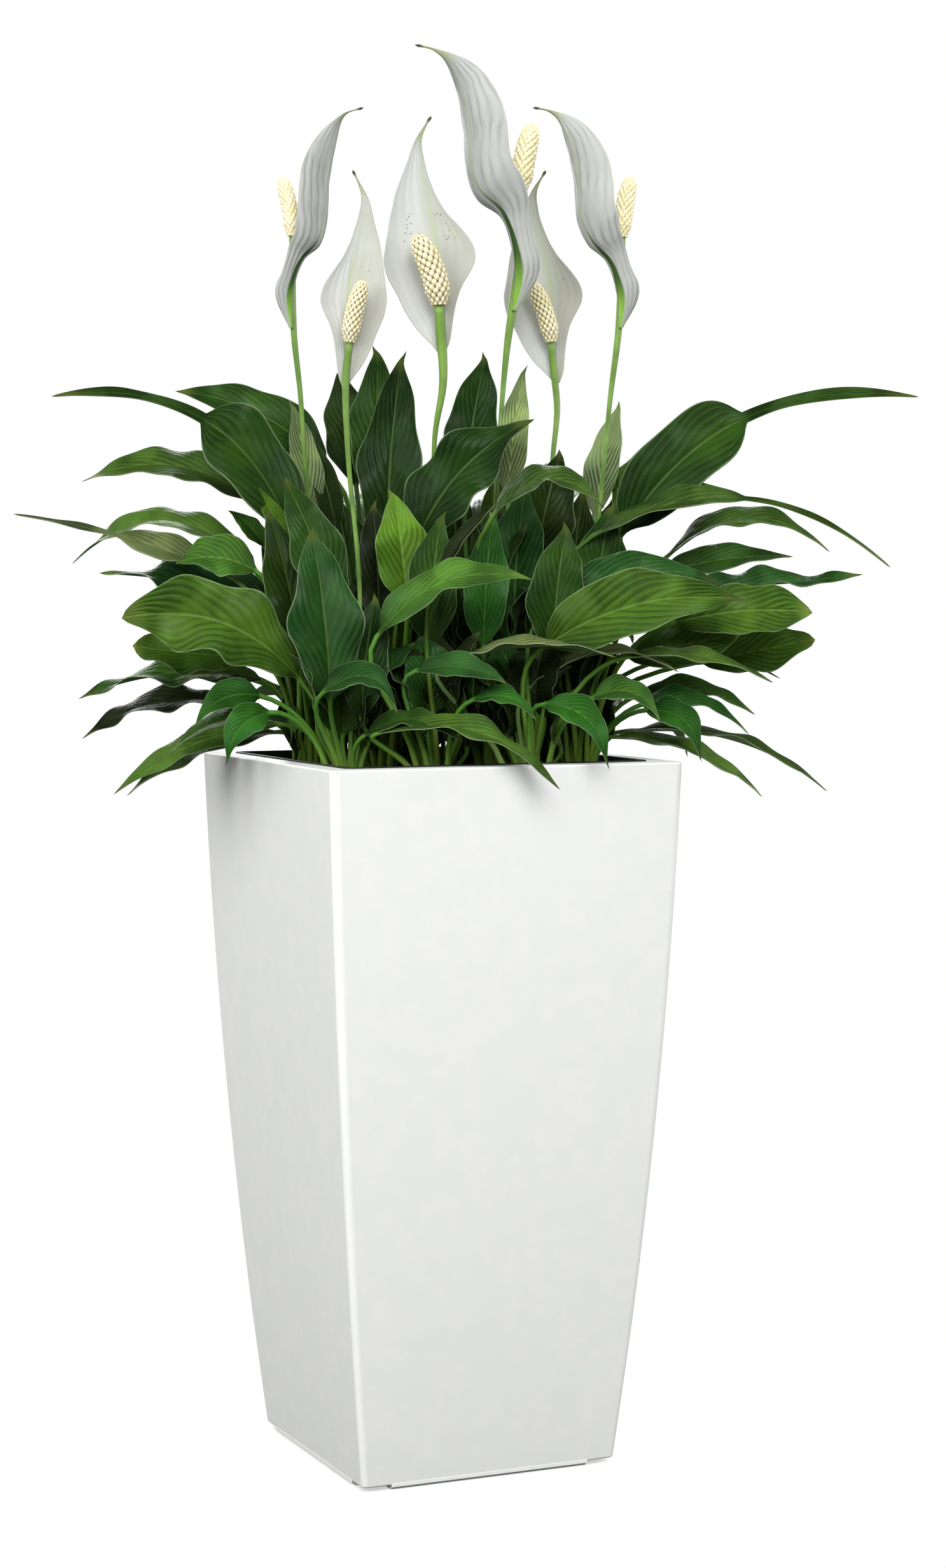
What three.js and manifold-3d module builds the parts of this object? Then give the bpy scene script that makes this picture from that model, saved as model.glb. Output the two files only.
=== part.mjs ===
// A potted peace lily: a leafy clump with six white blooms, growing in black soil in a
// liner that hangs inside a tall, tapered, square planter.
//
// Lengths are in millimetres, angles in degrees, and +Z is up. The origin is on the floor
// under the middle of the planter, whose four walls face along X and Y. The plant has a
// frame of its own: X to the right of its fullest side, Y away from that side, and Z up
// from the planter's rim. The fullest side is turned a little from the planter's front.

import * as THREE from 'three';
import { mergeVertices } from 'three/addons/utils/BufferGeometryUtils.js';
import Module from 'manifold-3d';

const wasm = await Module();
wasm.setup();

// ---------------------------------------------------------------- driving sizes

const planterHeight = 560;
const planterTopWidth = 295;
const planterFootWidth = 216;
const planterCorner = 5;
const planterWall = 4;
const straightShare = 0.43; // of the taper; the rest of it curves in towards the foot
const rimWidth = 20;
const rimRounding = 1.5;
const lipDepth = 16;
const ledgeWidth = 5;
const footRise = 4; // of the cross-shaped plinth under the body
const plinthNotch = 24; // that it leaves free at each corner
const plinthEdge = 3; // that it stands back from the walls

const gap = 0.3; // between pieces that touch
const linerDepth = 300;
const linerWall = 2.5;
const linerFootWidth = 210;
const soilDrop = 20; // from the rim to the soil
const collarRise = 1; // of the liner's collar above the rim
const soilUnevenness = 2.5;
const soilWaves = [17, 13]; // along X and Y

const plantTurn = -24; // of the fullest side from the planter's front
const rootDepth = 38; // of crowns and stems in the soil
const crownRise = 7; // of a crown above the soil
const crownRadius = 11;
const stalkSpread = 0.35; // of the crown's radius, between its middle and a stalk's foot
const stalkRise = 0.45; // of a stalk's length, straight up out of the soil
const stalkRunOut = 0.3; // of its length, straight on into the blade
const leafStalkRadius = 2.3;
const leafTipRadius = 0.7;
const leafEdge = 0.45; // half the thickness of a blade at its margin
const leafMiddle = 1.1; // half its thickness at the midrib, near the stalk
const foldAtNeck = 34; // of each half of a blade up from level
const fold = 12; // the same further along
const rightWaves = { along: 900, each: 70 }; // of a margin, and the shift from leaf to leaf
const leftWaves = { along: 820, each: 40 };
const spatheThickness = 0.9;
const spatheTurnSpeed = 3; // a spathe has turned from one way to the other after a third
const scapeRadius = 2.4;
const scapeSteps = 11;
const spadixFoot = 0.62; // of its full radius
const spadixSwell = 2; // how fast it swells to that from its foot
const spadixTop = 0.2; // of its full radius, the flat on its blunt top
const spadixRelief = 0.07; // of the florets, as a share of the radius

// ---------------------------------------------------------------- where the plant grows

// Each crown stands in the soil at [X, Y] of the plant's frame.
const crowns = {
  frontLeft: [-66, -94],
  front: [2, -96],
  frontRight: [72, -76],
  left: [-96, -20],
  midLeft: [-42, -34],
  midRight: [42, -22],
  right: [108, -30],
  backLeft: [-92, 44],
  backMid: [-22, 44],
  backRight: [88, 44],
  farLeft: [-42, 92],
  farRight: [30, 100],
};

// The outlines that a blade can have: how fast it widens from the neck, how fast it
// narrows to the tip, and the share of its length that is drawn out as a narrow tail.
const outlines = {
  plain: { widen: 0.9, narrow: 1.3, tail: 0 },
  blunt: { widen: 0.8, narrow: 0.75, tail: 0 },
  drawn: { widen: 0.75, narrow: 1.7, tail: 0 },
  tailed: { widen: 0.9, narrow: 0.8, tail: 0.5 },
  winged: { widen: 0.9, narrow: 0.62, tail: 0.5 },
};

// Each leaf: its crown, the neck where the stalk meets the blade, the tip, the blade's
// width, how far the midrib bows up from a straight line, how far the blade is rolled
// about its midrib at the neck and at the tip, how high its margin waves, and its outline
// where that isn't the plain one.
const leaves = [
  // the fan to the left
  ['left', [-112, -15, 172], [-303, -30, 286], 66, 46, [-70, -50], 2.5, 'winged'],
  ['left', [-112, 20, 184], [-162, 30, 262], 46, 8, [-60, -50], 1],
  ['backLeft', [-88, 48, 232], [-213, 48, 295], 46, 14, [-65, -50], 1.5],
  ['backLeft', [-146, 40, 204], [-288, 40, 221], 42, 22, [-45, -30], 2],
  ['left', [-146, 5, 150], [-292, 0, 154], 38, 37, [-35, -15], 2],
  ['left', [-172, -45, 150], [-330, -50, 193], 34, 5, [-30, -50], 2, 'tailed'],
  ['left', [-125, -22, 124], [-266, -30, 147], 46, 5, [-45, -30], 3.5],
  ['left', [-150, -40, 82], [-238, -44, 90], 38, -2, [-65, -60], 2, 'blunt'],
  ['backLeft', [-150, 14, 62], [-288, 5, 46], 40, 12, [-45, -10], 2.5],
  ['backLeft', [-170, 44, 42], [-290, 50, 12], 34, 14, [-35, -30], 2],
  ['left', [-122, -40, 28], [-253, -55, -27], 26, 12, [-50, -45], 1.5],
  ['left', [-126, 0, 20], [-248, -6, -31], 30, 12, [-36, -30], 1.5],
  ['left', [-138, -18, 62], [-209, -22, 62], 24, 6, [-40, -20], 1],
  ['left', [-140, -50, 148], [-203, -62, 154], 42, 8, [-50, -50], 1.5],
  ['left', [-106, -46, 80], [-134, -36, 200], 44, 4, [-50, -50], 1.5],
  ['backLeft', [-138, 30, 168], [-168, 36, 198], 20, 2, [-40, -40], 0.5],
  ['backLeft', [-112, 44, 96], [-140, 54, 196], 48, 4, [-60, -50], 1.5],
  // the low fan to the left of the front corner
  ['frontLeft', [-104, -84, 64], [-240, -104, 112], 62, 22, [-72, -70], 3, 'blunt'],
  ['frontLeft', [-126, -112, 40], [-157, -132, 0], 27, 12, [-60, -40], 1, 'drawn'],
  ['frontLeft', [-134, -96, 52], [-184, -118, 28], 30, 11, [-50, -35], 1, 'drawn'],
  ['frontLeft', [-112, -76, 30], [-206, -92, 6], 26, 16, [-30, -20], 1],
  // upright leaves at the middle and left
  ['midLeft', [-98, 14, 190], [-117, 28, 287], 26, 2, [-40, -40], 1],
  ['midLeft', [-80, 14, 180], [-101, 28, 258], 22, 2, [-50, -50], 0.5],
  ['left', [-96, -36, 124], [-148, -24, 222], 26, 4, [-60, -50], 1],
  ['left', [-76, -56, 112], [-120, -40, 224], 42, 4, [-70, -60], 1.5],
  ['midLeft', [-64, 2, 30], [-72, 18, 128], 46, 4, [-30, -30], 1.5],
  ['backMid', [-66, 62, 218], [-82, 92, 318], 42, 3, [-20, -30], 1.5],
  ['backMid', [-48, 42, 206], [-49, 74, 334], 46, 4, [0, -5], 1.5],
  ['midLeft', [-40, 10, 160], [-28, 42, 327], 50, 6, [15, 20], 2],
  ['midRight', [24, 34, 214], [41, 64, 328], 42, 5, [25, 30], 1.5],
  ['midLeft', [-16, -36, 168], [78, -28, 268], 58, 14, [66, 56], 2.5],
  ['midLeft', [-22, -58, 122], [-34, -40, 213], 44, 3, [-30, -20], 1.5],
  ['midLeft', [-44, -40, 104], [-50, -24, 206], 34, 3, [-20, -20], 1],
  ['backLeft', [-66, 34, 100], [-84, 50, 214], 50, 4, [-30, -40], 1.5],
  ['backMid', [-8, 34, 120], [-6, 52, 240], 52, 4, [10, 0], 1.5],
  ['front', [-44, -108, 98], [77, -116, 141], 36, 22, [50, 40], 2],
  ['frontLeft', [-80, -104, 46], [-97, -84, 184], 56, 6, [-30, -34], 2],
  ['front', [-56, -98, 34], [-44, -82, 132], 40, 4, [20, 25], 1.5],
  ['front', [-4, -70, 88], [6, -56, 196], 42, 4, [30, 25], 1.5],
  ['midRight', [38, -66, 88], [46, -48, 197], 36, 4, [20, 24], 1],
  ['midRight', [24, -18, 36], [28, -6, 140], 46, 4, [15, 20], 1.5],
  ['frontRight', [92, -68, 82], [104, -52, 188], 46, 4, [40, 35], 1.5],
  ['midRight', [62, -20, 108], [72, 2, 222], 46, 4, [20, 20], 1.5],
  ['midRight', [46, -60, 192], [133, -68, 196], 38, 26, [35, 20], 1.5],
  ['front', [4, -78, 146], [50, -84, 202], 20, 4, [40, 30], 0.5],
  ['midRight', [80, 0, 150], [102, 22, 247], 50, 4, [40, 40], 2],
  // the low leaves along the front
  ['frontLeft', [-84, -134, 56], [-26, -146, 38], 30, 22, [40, 35], 1, 'drawn'],
  ['front', [-44, -124, 24], [95, -154, -17], 34, 24, [20, 20], 1.5],
  ['front', [30, -120, 50], [79, -136, 34], 24, 10, [35, 30], 1, 'drawn'],
  ['frontRight', [84, -108, 46], [132, -134, -3], 30, 17, [40, 30], 1, 'drawn'],
  ['frontRight', [122, -88, 50], [175, -104, 31], 30, 15, [40, 30], 1, 'drawn'],
  ['right', [166, -62, 40], [206, -82, 0], 28, 15, [45, 30], 1, 'drawn'],
  ['front', [-14, -120, 72], [57, -134, 62], 26, 8, [45, 40], 1],
  ['frontRight', [8, -92, 76], [140, -114, 82], 40, 12, [8, 5], 1.5],
  ['frontRight', [72, -66, 56], [190, -82, 70], 36, 22, [15, 10], 1.5],
  // the fan to the right
  ['right', [146, -6, 174], [383, -14, 286], 66, 44, [75, 50], 2.5, 'winged'],
  ['backRight', [150, 30, 180], [205, 44, 266], 48, 5, [60, 50], 1.5],
  ['right', [124, -26, 176], [358, -44, 151], 36, 42, [24, 45], 2, 'tailed'],
  ['backRight', [186, 30, 160], [320, 34, 164], 32, 30, [20, 35], 2],
  ['right', [178, -14, 146], [284, -16, 160], 32, 5, [45, 35], 1],
  ['frontRight', [92, -62, 122], [222, -74, 139], 40, 16, [50, 45], 2],
  ['right', [196, -40, 138], [336, -46, 146], 32, -3, [35, 30], 3.5],
  ['frontRight', [82, -92, 88], [238, -112, 126], 56, 16, [72, 65], 2],
  ['right', [186, -62, 108], [294, -68, 116], 44, 5, [68, 60], 1.5, 'blunt'],
  ['right', [148, -48, 82], [240, -52, 100], 40, -1, [70, 60], 1.5, 'blunt'],
  ['backRight', [210, -4, 76], [303, -6, 94], 40, 0, [65, 60], 1.5, 'blunt'],
  ['frontRight', [150, -80, 82], [262, -92, 62], 20, 10, [30, 20], 1],
  ['backRight', [172, 16, 74], [278, 20, 62], 24, 12, [20, 10], 1],
  ['right', [162, -14, 50], [255, -18, 34], 28, 12, [40, 20], 1],
  ['right', [164, -44, 44], [247, -54, 20], 26, 14, [40, 20], 1, 'drawn'],
  ['backRight', [158, 22, 20], [318, 24, -30], 28, 18, [15, 10], 1.5],
  ['right', [140, -40, 18], [257, -66, -28], 28, 13, [20, 10], 1],
  ['backRight', [128, 28, 192], [150, 40, 287], 28, 3, [50, 40], 1],
  ['right', [126, -26, 96], [140, -10, 204], 46, 4, [45, 40], 1.5],
  ['right', [98, -14, 36], [108, -2, 138], 46, 4, [30, 30], 1.5],
  ['backRight', [92, 44, 120], [86, 62, 238], 50, 4, [-10, 0], 1.5],
  ['backRight', [124, 46, 100], [146, 56, 210], 48, 4, [60, 50], 1.5],
  ['midRight', [58, -6, 206], [71, 4, 313], 26, 3, [40, 50], 1],
];

// The side away from the fullest one: tiers of leaves that fan out over the rim. Each
// tier: the height of its necks and tips, how far out they reach, the bearing of its
// first leaf, the turn from one leaf to the next, the crowns in turn, width and bow.
const backTiers = [
  { neck: 46, tip: -18, out: [140, 252], from: 32, turn: 28, width: 32, bow: 22,
    crowns: ['backRight', 'farRight', 'farRight', 'farLeft', 'backLeft'] },
  { neck: 104, tip: 96, out: [128, 268], from: 24, turn: 26, width: 44, bow: 22,
    crowns: ['backRight', 'farRight', 'farRight', 'farLeft', 'farLeft', 'backLeft'] },
  { neck: 176, tip: 214, out: [92, 214], from: 40, turn: 27, width: 52, bow: 16,
    crowns: ['farRight', 'farRight', 'farLeft', 'farLeft', 'backLeft'] },
  { neck: 120, tip: 226, out: [100, 118], from: 62, turn: 40, width: 50, bow: 5,
    crowns: ['farRight', 'farLeft'] },
];

// ---------------------------------------------------------------- the blooms

// The outlines that one side of a spathe can have: its width at shares of the length.
const spatheOutlines = {
  full: [[0, 0.03], [0.05, 0.2], [0.1, 0.44], [0.18, 0.66], [0.26, 0.8], [0.34, 0.97], [0.42, 1],
    [0.5, 0.9], [0.6, 0.76], [0.7, 0.57], [0.8, 0.28], [0.88, 0.1], [0.93, 0.03], [1, 0.01]],
  pointed: [[0, 0.04], [0.05, 0.22], [0.15, 0.3], [0.22, 0.4], [0.28, 0.55], [0.33, 0.8], [0.38, 1],
    [0.44, 0.95], [0.5, 0.72], [0.58, 0.38], [0.66, 0.19], [0.75, 0.09], [0.87, 0.04], [1, 0.01]],
  lobed: [[0, 0.05], [0.06, 0.28], [0.11, 0.46], [0.16, 0.55], [0.22, 0.42], [0.28, 0.5], [0.34, 0.78],
    [0.4, 1], [0.55, 1], [0.67, 0.95], [0.75, 0.75], [0.82, 0.48], [0.88, 0.14], [0.92, 0.03], [1, 0.01]],
  hooded: [[0, 0.02], [0.12, 0.06], [0.2, 0.16], [0.3, 0.3], [0.4, 0.8], [0.5, 1], [0.62, 1],
    [0.73, 0.85], [0.82, 0.5], [0.88, 0.14], [0.92, 0.03], [1, 0.01]],
};

// Each bloom: the stem's course from the soil to the spadix, the spadix's top and radius,
// the spathe's midrib from its foot on the stem to its tip, the way the spathe faces at its
// foot and further up (0 to the fullest side, 90 to the right), how far each half curls
// forward, and the half-width and outline of its two sides.
const blooms = [
  {
    stem: [[-74, 14, -20], [-88, 8, 90], [-103, 0, 218], [-108, -1, 290], [-113, -1, 340], [-114, 0, 414]],
    spadix: [-123, 2, 462],
    spadixRadius: 5.8,
    midrib: [[-114, -4, 340], [-114, -6, 372], [-106, -7, 396], [-94, -7, 409], [-89, -6, 430],
      [-87, -4, 462], [-79, 0, 496], [-72, 2, 510], [-57, 6, 516]],
    faces: [-160, -114],
    curl: 56,
    sides: [[25, 'hooded'], [26, 'lobed']],
  },
  {
    stem: [[-56, -60, -20], [-58, -56, 60], [-60, -50, 150], [-68, -44, 236], [-70, -40, 298], [-67, -42, 327]],
    spadix: [-55, -46, 375],
    spadixRadius: 6.5,
    midrib: [[-71, -37, 291], [-71, -33, 320], [-69, -30, 352], [-66, -27, 384], [-61, -24, 415],
      [-57, -24, 440], [-60, -24, 452], [-65, -25, 463]],
    faces: [8, 4],
    curl: 38,
    sides: [[24, 'pointed'], [32, 'full']],
  },
  {
    stem: [[6, 6, -20], [4, 2, 120], [-1, -12, 250], [6, -16, 298], [4, -20, 340], [3, -22, 358]],
    spadix: [-16, -25, 412],
    spadixRadius: 9,
    midrib: [[5, -15, 319], [5, -10, 345], [4, -6, 374], [1, -4, 407], [-5, -3, 440], [-11, -4, 472],
      [-12, -6, 489], [-7, -8, 501], [-3, -10, 507]],
    faces: [-8, -4],
    curl: 32,
    sides: [[45, 'full'], [32, 'pointed']],
  },
  {
    stem: [[40, 24, -20], [44, 22, 120], [51, 18, 255], [57, 17, 328], [65, 14, 386], [68, 12, 452]],
    spadix: [78, 12, 504],
    spadixRadius: 8,
    midrib: [[61, 12, 355], [64, 9, 380], [63, 7, 405], [54, 6, 433], [37, 5, 450], [29, 6, 472],
      [27, 7, 500], [20, 10, 535], [8, 12, 556], [-2, 14, 563], [-17, 16, 567]],
    faces: [160, 118],
    curl: 56,
    sides: [[38, 'lobed'], [38, 'hooded']],
  },
  {
    stem: [[78, 14, -20], [89, 22, 120], [94, 42, 235], [98, 47, 280], [96, 48, 305], [93, 46, 334]],
    spadix: [76, 42, 383],
    spadixRadius: 6.6,
    midrib: [[98, 51, 300], [97, 55, 325], [95, 58, 352], [92, 60, 385], [86, 62, 417], [81, 63, 442],
      [81, 62, 458], [89, 60, 474]],
    faces: [-8, -4],
    curl: 38,
    sides: [[41, 'full'], [28, 'pointed']],
  },
  {
    stem: [[108, 8, -20], [120, 6, 100], [133, 2, 218], [139, 1, 285], [146, 0, 345], [148, 0, 413]],
    spadix: [156, 2, 462],
    spadixRadius: 6.6,
    midrib: [[146, -3, 340], [145, -6, 370], [138, -7, 394], [124, -7, 410], [116, -6, 430],
      [114, -4, 456], [109, -2, 482], [99, 2, 506], [90, 4, 513], [77, 6, 516]],
    faces: [160, 114],
    curl: 56,
    sides: [[34, 'lobed'], [34, 'hooded']],
  },
];

// ---------------------------------------------------------------- finishes

const whitePlastic = new THREE.MeshStandardMaterial({ color: 0xf0f0ee, roughness: 0.35 });
const blackPlastic = new THREE.MeshStandardMaterial({ color: 0x17181a, roughness: 0.5 });
const darkSoil = new THREE.MeshStandardMaterial({ color: 0x2b2019, roughness: 1 });
const deepGreen = new THREE.MeshStandardMaterial({ color: 0x2b5a22, roughness: 0.4 });
const stemGreen = new THREE.MeshStandardMaterial({ color: 0x6fa238, roughness: 0.5 });
const spatheWhite = new THREE.MeshStandardMaterial({ color: 0xe9ebe4, roughness: 0.5 });
const spadixCream = new THREE.MeshStandardMaterial({ color: 0xe9ddae, roughness: 0.8 });

// ---------------------------------------------------------------- shared helpers

const up = new THREE.Vector3(0, 0, 1);
const radians = THREE.MathUtils.degToRad;
const lerp = THREE.MathUtils.lerp;

function point(list) {
  return new THREE.Vector3(...list);
}

// A closed skin through rings of points that run counter-clockwise about the way the
// rings follow each other. cutFirst(ring, column) says whether the four-sided patch
// there is split from its first corner or from its second.
function skin(rings, cutFirst = () => true) {
  const around = rings[0].length;
  const last = (rings.length - 1) * around;
  const faces = [];
  for (let ring = 0; ring + 1 < rings.length; ring += 1) {
    for (let column = 0; column < around; column += 1) {
      const a = ring * around + column;
      const b = ring * around + ((column + 1) % around);
      const c = b + around;
      const d = a + around;
      if (cutFirst(ring, column)) faces.push(a, b, c, a, c, d);
      else faces.push(a, b, d, b, c, d);
    }
  }
  for (let column = 0; column + 1 < around / 2; column += 1) {
    const a = column;
    const b = column + 1;
    const c = around - 2 - column;
    const d = around - 1 - column;
    if (column + 2 < around / 2 || b !== c) faces.push(a, c, b, last + a, last + b, last + c);
    if (c !== d) faces.push(a, d, c, last + a, last + c, last + d);
  }
  const geometry = new THREE.BufferGeometry().setFromPoints(rings.flat());
  geometry.setIndex(faces);
  return geometry;
}

function solidOf(geometry) {
  const bare = geometry.clone();
  bare.deleteAttribute('normal');
  bare.deleteAttribute('uv');
  const merged = mergeVertices(bare, 1e-4);
  const vertProperties = new Float32Array(merged.attributes.position.array);
  const triVerts = new Uint32Array(merged.index.array);
  return new wasm.Manifold(new wasm.Mesh({ numProp: 3, vertProperties, triVerts }));
}

function geometryOf(solid) {
  const mesh = solid.getMesh();
  const geometry = new THREE.BufferGeometry();
  geometry.setAttribute('position', new THREE.BufferAttribute(mesh.vertProperties, 3));
  geometry.setIndex(new THREE.BufferAttribute(mesh.triVerts, 1));
  return geometry;
}

function join(solids) {
  return solids.reduce((whole, solid) => whole.add(solid));
}

function piece(name, geometry, material) {
  const mesh = new THREE.Mesh(geometry, material.clone());
  mesh.name = name;
  geometry.computeVertexNormals();
  return mesh;
}

// ---------------------------------------------------------------- planter, liner, soil

// The outline of a square with rounded corners, counter-clockwise seen from above.
function squareRing(half, corner, z, cornerSteps = 2) {
  const ring = [];
  for (let quarter = 0; quarter < 4; quarter += 1) {
    for (let step = 0; step <= cornerSteps; step += 1) {
      const turn = (step / cornerSteps) * (Math.PI / 2);
      const x = half - corner + corner * Math.cos(turn);
      const y = half - corner + corner * Math.sin(turn);
      ring.push(new THREE.Vector3(x, y, z).applyAxisAngle(up, quarter * (Math.PI / 2)));
    }
  }
  return ring;
}

// Half the planter's outer width at a height: a straight taper and a curve towards the foot.
function planterHalf(z) {
  const drop = (planterHeight - z) / (planterHeight - footRise);
  const taper = (planterTopWidth - planterFootWidth) / 2;
  return planterTopWidth / 2 - taper * (straightShare * drop + (1 - straightShare) * drop * drop);
}

function planterGeometry() {
  const opening = planterTopWidth / 2 - rimWidth;
  const ledge = planterHeight - lipDepth;
  const floor = footRise + planterWall;
  const outerHeights = [footRise + rimRounding, 70, 150, 240, 340, 450, planterHeight - rimRounding];
  const innerHeights = [planterHeight - planterWall, 400, 250, 120, floor];
  const lip = [
    [planterTopWidth / 2 - rimRounding, planterHeight],
    [opening, planterHeight],
    [opening, ledge],
    [opening - ledgeWidth, ledge],
    [opening - ledgeWidth, ledge - planterWall],
    [opening + planterWall, ledge - planterWall],
    [opening + planterWall, planterHeight - planterWall],
  ];
  const rings = [
    squareRing(planterHalf(footRise) - rimRounding, planterCorner - rimRounding, footRise),
    ...outerHeights.map((z) => squareRing(planterHalf(z), planterCorner, z)),
    ...lip.map(([half, z]) => squareRing(half, planterCorner - rimRounding, z)),
    ...innerHeights.map((z) => squareRing(planterHalf(z) - planterWall, rimRounding, z)),
  ];
  const plinth = [0, 1].map((quarter) => {
    const height = footRise + planterWall / 2;
    const bar = new THREE.BoxGeometry(
      planterFootWidth - 2 * plinthNotch,
      planterFootWidth - 2 * plinthEdge,
      height,
    );
    bar.translate(0, 0, height / 2);
    bar.rotateZ(quarter * (Math.PI / 2));
    return solidOf(bar);
  });
  return geometryOf(join([solidOf(skin(rings)), ...plinth]));
}

// Half the liner's outer width at a height.
function linerHalf(z) {
  const top = planterHeight - lipDepth;
  const topHalf = planterTopWidth / 2 - rimWidth - ledgeWidth - 2 * gap;
  return lerp(topHalf, linerFootWidth / 2, (top - z) / linerDepth);
}

function linerGeometry() {
  const seat = planterHeight - lipDepth + gap;
  const bottom = seat - linerDepth;
  const flange = planterTopWidth / 2 - rimWidth - 2 * gap;
  const profile = [
    [linerHalf(bottom), bottom],
    [linerHalf(seat), seat],
    [flange, seat],
    [flange, planterHeight + collarRise],
    [flange - linerWall, planterHeight + collarRise],
    [flange - linerWall, seat + linerWall],
    [linerHalf(seat) - linerWall, seat + linerWall],
    [linerHalf(bottom) - linerWall, bottom + linerWall],
  ];
  return skin(profile.map(([half, z]) => squareRing(half, planterCorner, z)));
}

// The hole that a root or stem with this many sides stands in, in the plant's frame.
function plantHole([x, y], radius, sides) {
  const bottom = -soilDrop - rootDepth - gap;
  const height = rootDepth + 6 * soilUnevenness;
  const hole = new THREE.CylinderGeometry(radius + 2 * gap, radius + gap, height, sides);
  hole.rotateX(Math.PI / 2);
  hole.translate(x, y, bottom + height / 2);
  return hole;
}

// The soil fills the liner. Its top is uneven, in rings that wave by a formula.
function soilGeometry(plantFrame) {
  const top = planterHeight - soilDrop;
  const bottom = planterHeight - lipDepth - linerDepth + linerWall + 2 * gap;
  const inside = (z) => linerHalf(z) - linerWall - gap;
  const rings = [
    squareRing(inside(bottom), planterCorner, bottom),
    squareRing(inside(top), planterCorner, top),
  ];
  for (const share of [0.7, 0.35]) {
    const ring = squareRing(inside(top) * share, planterCorner, top);
    ring.forEach((spot) => {
      spot.z += soilUnevenness * Math.sin(spot.x / soilWaves[0]) * Math.cos(spot.y / soilWaves[1]);
    });
    rings.push(ring);
  }
  const holes = [
    ...Object.values(crowns).map((place) => plantHole(place, crownRadius, 6)),
    ...blooms.map((bloom) => plantHole(bloom.stem[0], scapeRadius, 6)),
  ];
  const cuts = holes.map((hole) => solidOf(hole.applyMatrix4(plantFrame)));
  return geometryOf(cuts.reduce((soil, hole) => soil.subtract(hole), solidOf(skin(rings))));
}

// ---------------------------------------------------------------- leaves

// The steps along long and short stalks, and along wide and narrow blades.
const stalkSteps = { long: [0, 0.25, 0.6], short: [0, 0.4] };
const bladeSteps = { wide: [0, 0.1, 0.25, 0.42, 0.6, 0.8, 1], narrow: [0, 0.14, 0.34, 0.56, 0.8, 1] };
const longStalk = 215;
const wideBlade = 30;
const tailOverlap = 0.2; // of the length, where a tail already shows within its blade
const tailWidth = 0.6; // of the blade's width, for a tail as long as the whole leaf

// How wide a blade of some outline is along its length, as a share of its full width.
function bladeShare(along, { widen, narrow, tail }) {
  const blade = Math.min(1, along / (1 - tail));
  const widest = widen / (widen + narrow);
  const share = (blade ** widen * (1 - blade) ** narrow) / (widest ** widen * (1 - widest) ** narrow);
  if (tail === 0 || along < 1 - tail - tailOverlap) return share;
  const past = Math.max(0, (along - 1 + tail) / tail);
  return Math.max(share, tailWidth * tail * Math.sqrt(past + 0.25) * (1 - past) ** 0.7);
}

// A blade is split into triangles alike on its two faces, so that they never cross.
function cutBlade(ring, column) {
  return column % 3 === 1;
}

// Six points round a midrib: the right margin, the midrib and the left margin above, and
// the same three below.
function bladeRing(centre, ahead, side, { half, middle, edge, rightLift, leftLift }) {
  const above = new THREE.Vector3().crossVectors(ahead, side);
  const place = (out, lift) => centre.clone().addScaledVector(side, out).addScaledVector(above, lift);
  return [
    place(half, rightLift + edge),
    place(0, middle),
    place(-half, leftLift + edge),
    place(-half, leftLift - edge),
    place(0, -middle),
    place(half, rightLift - edge),
  ];
}

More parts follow.
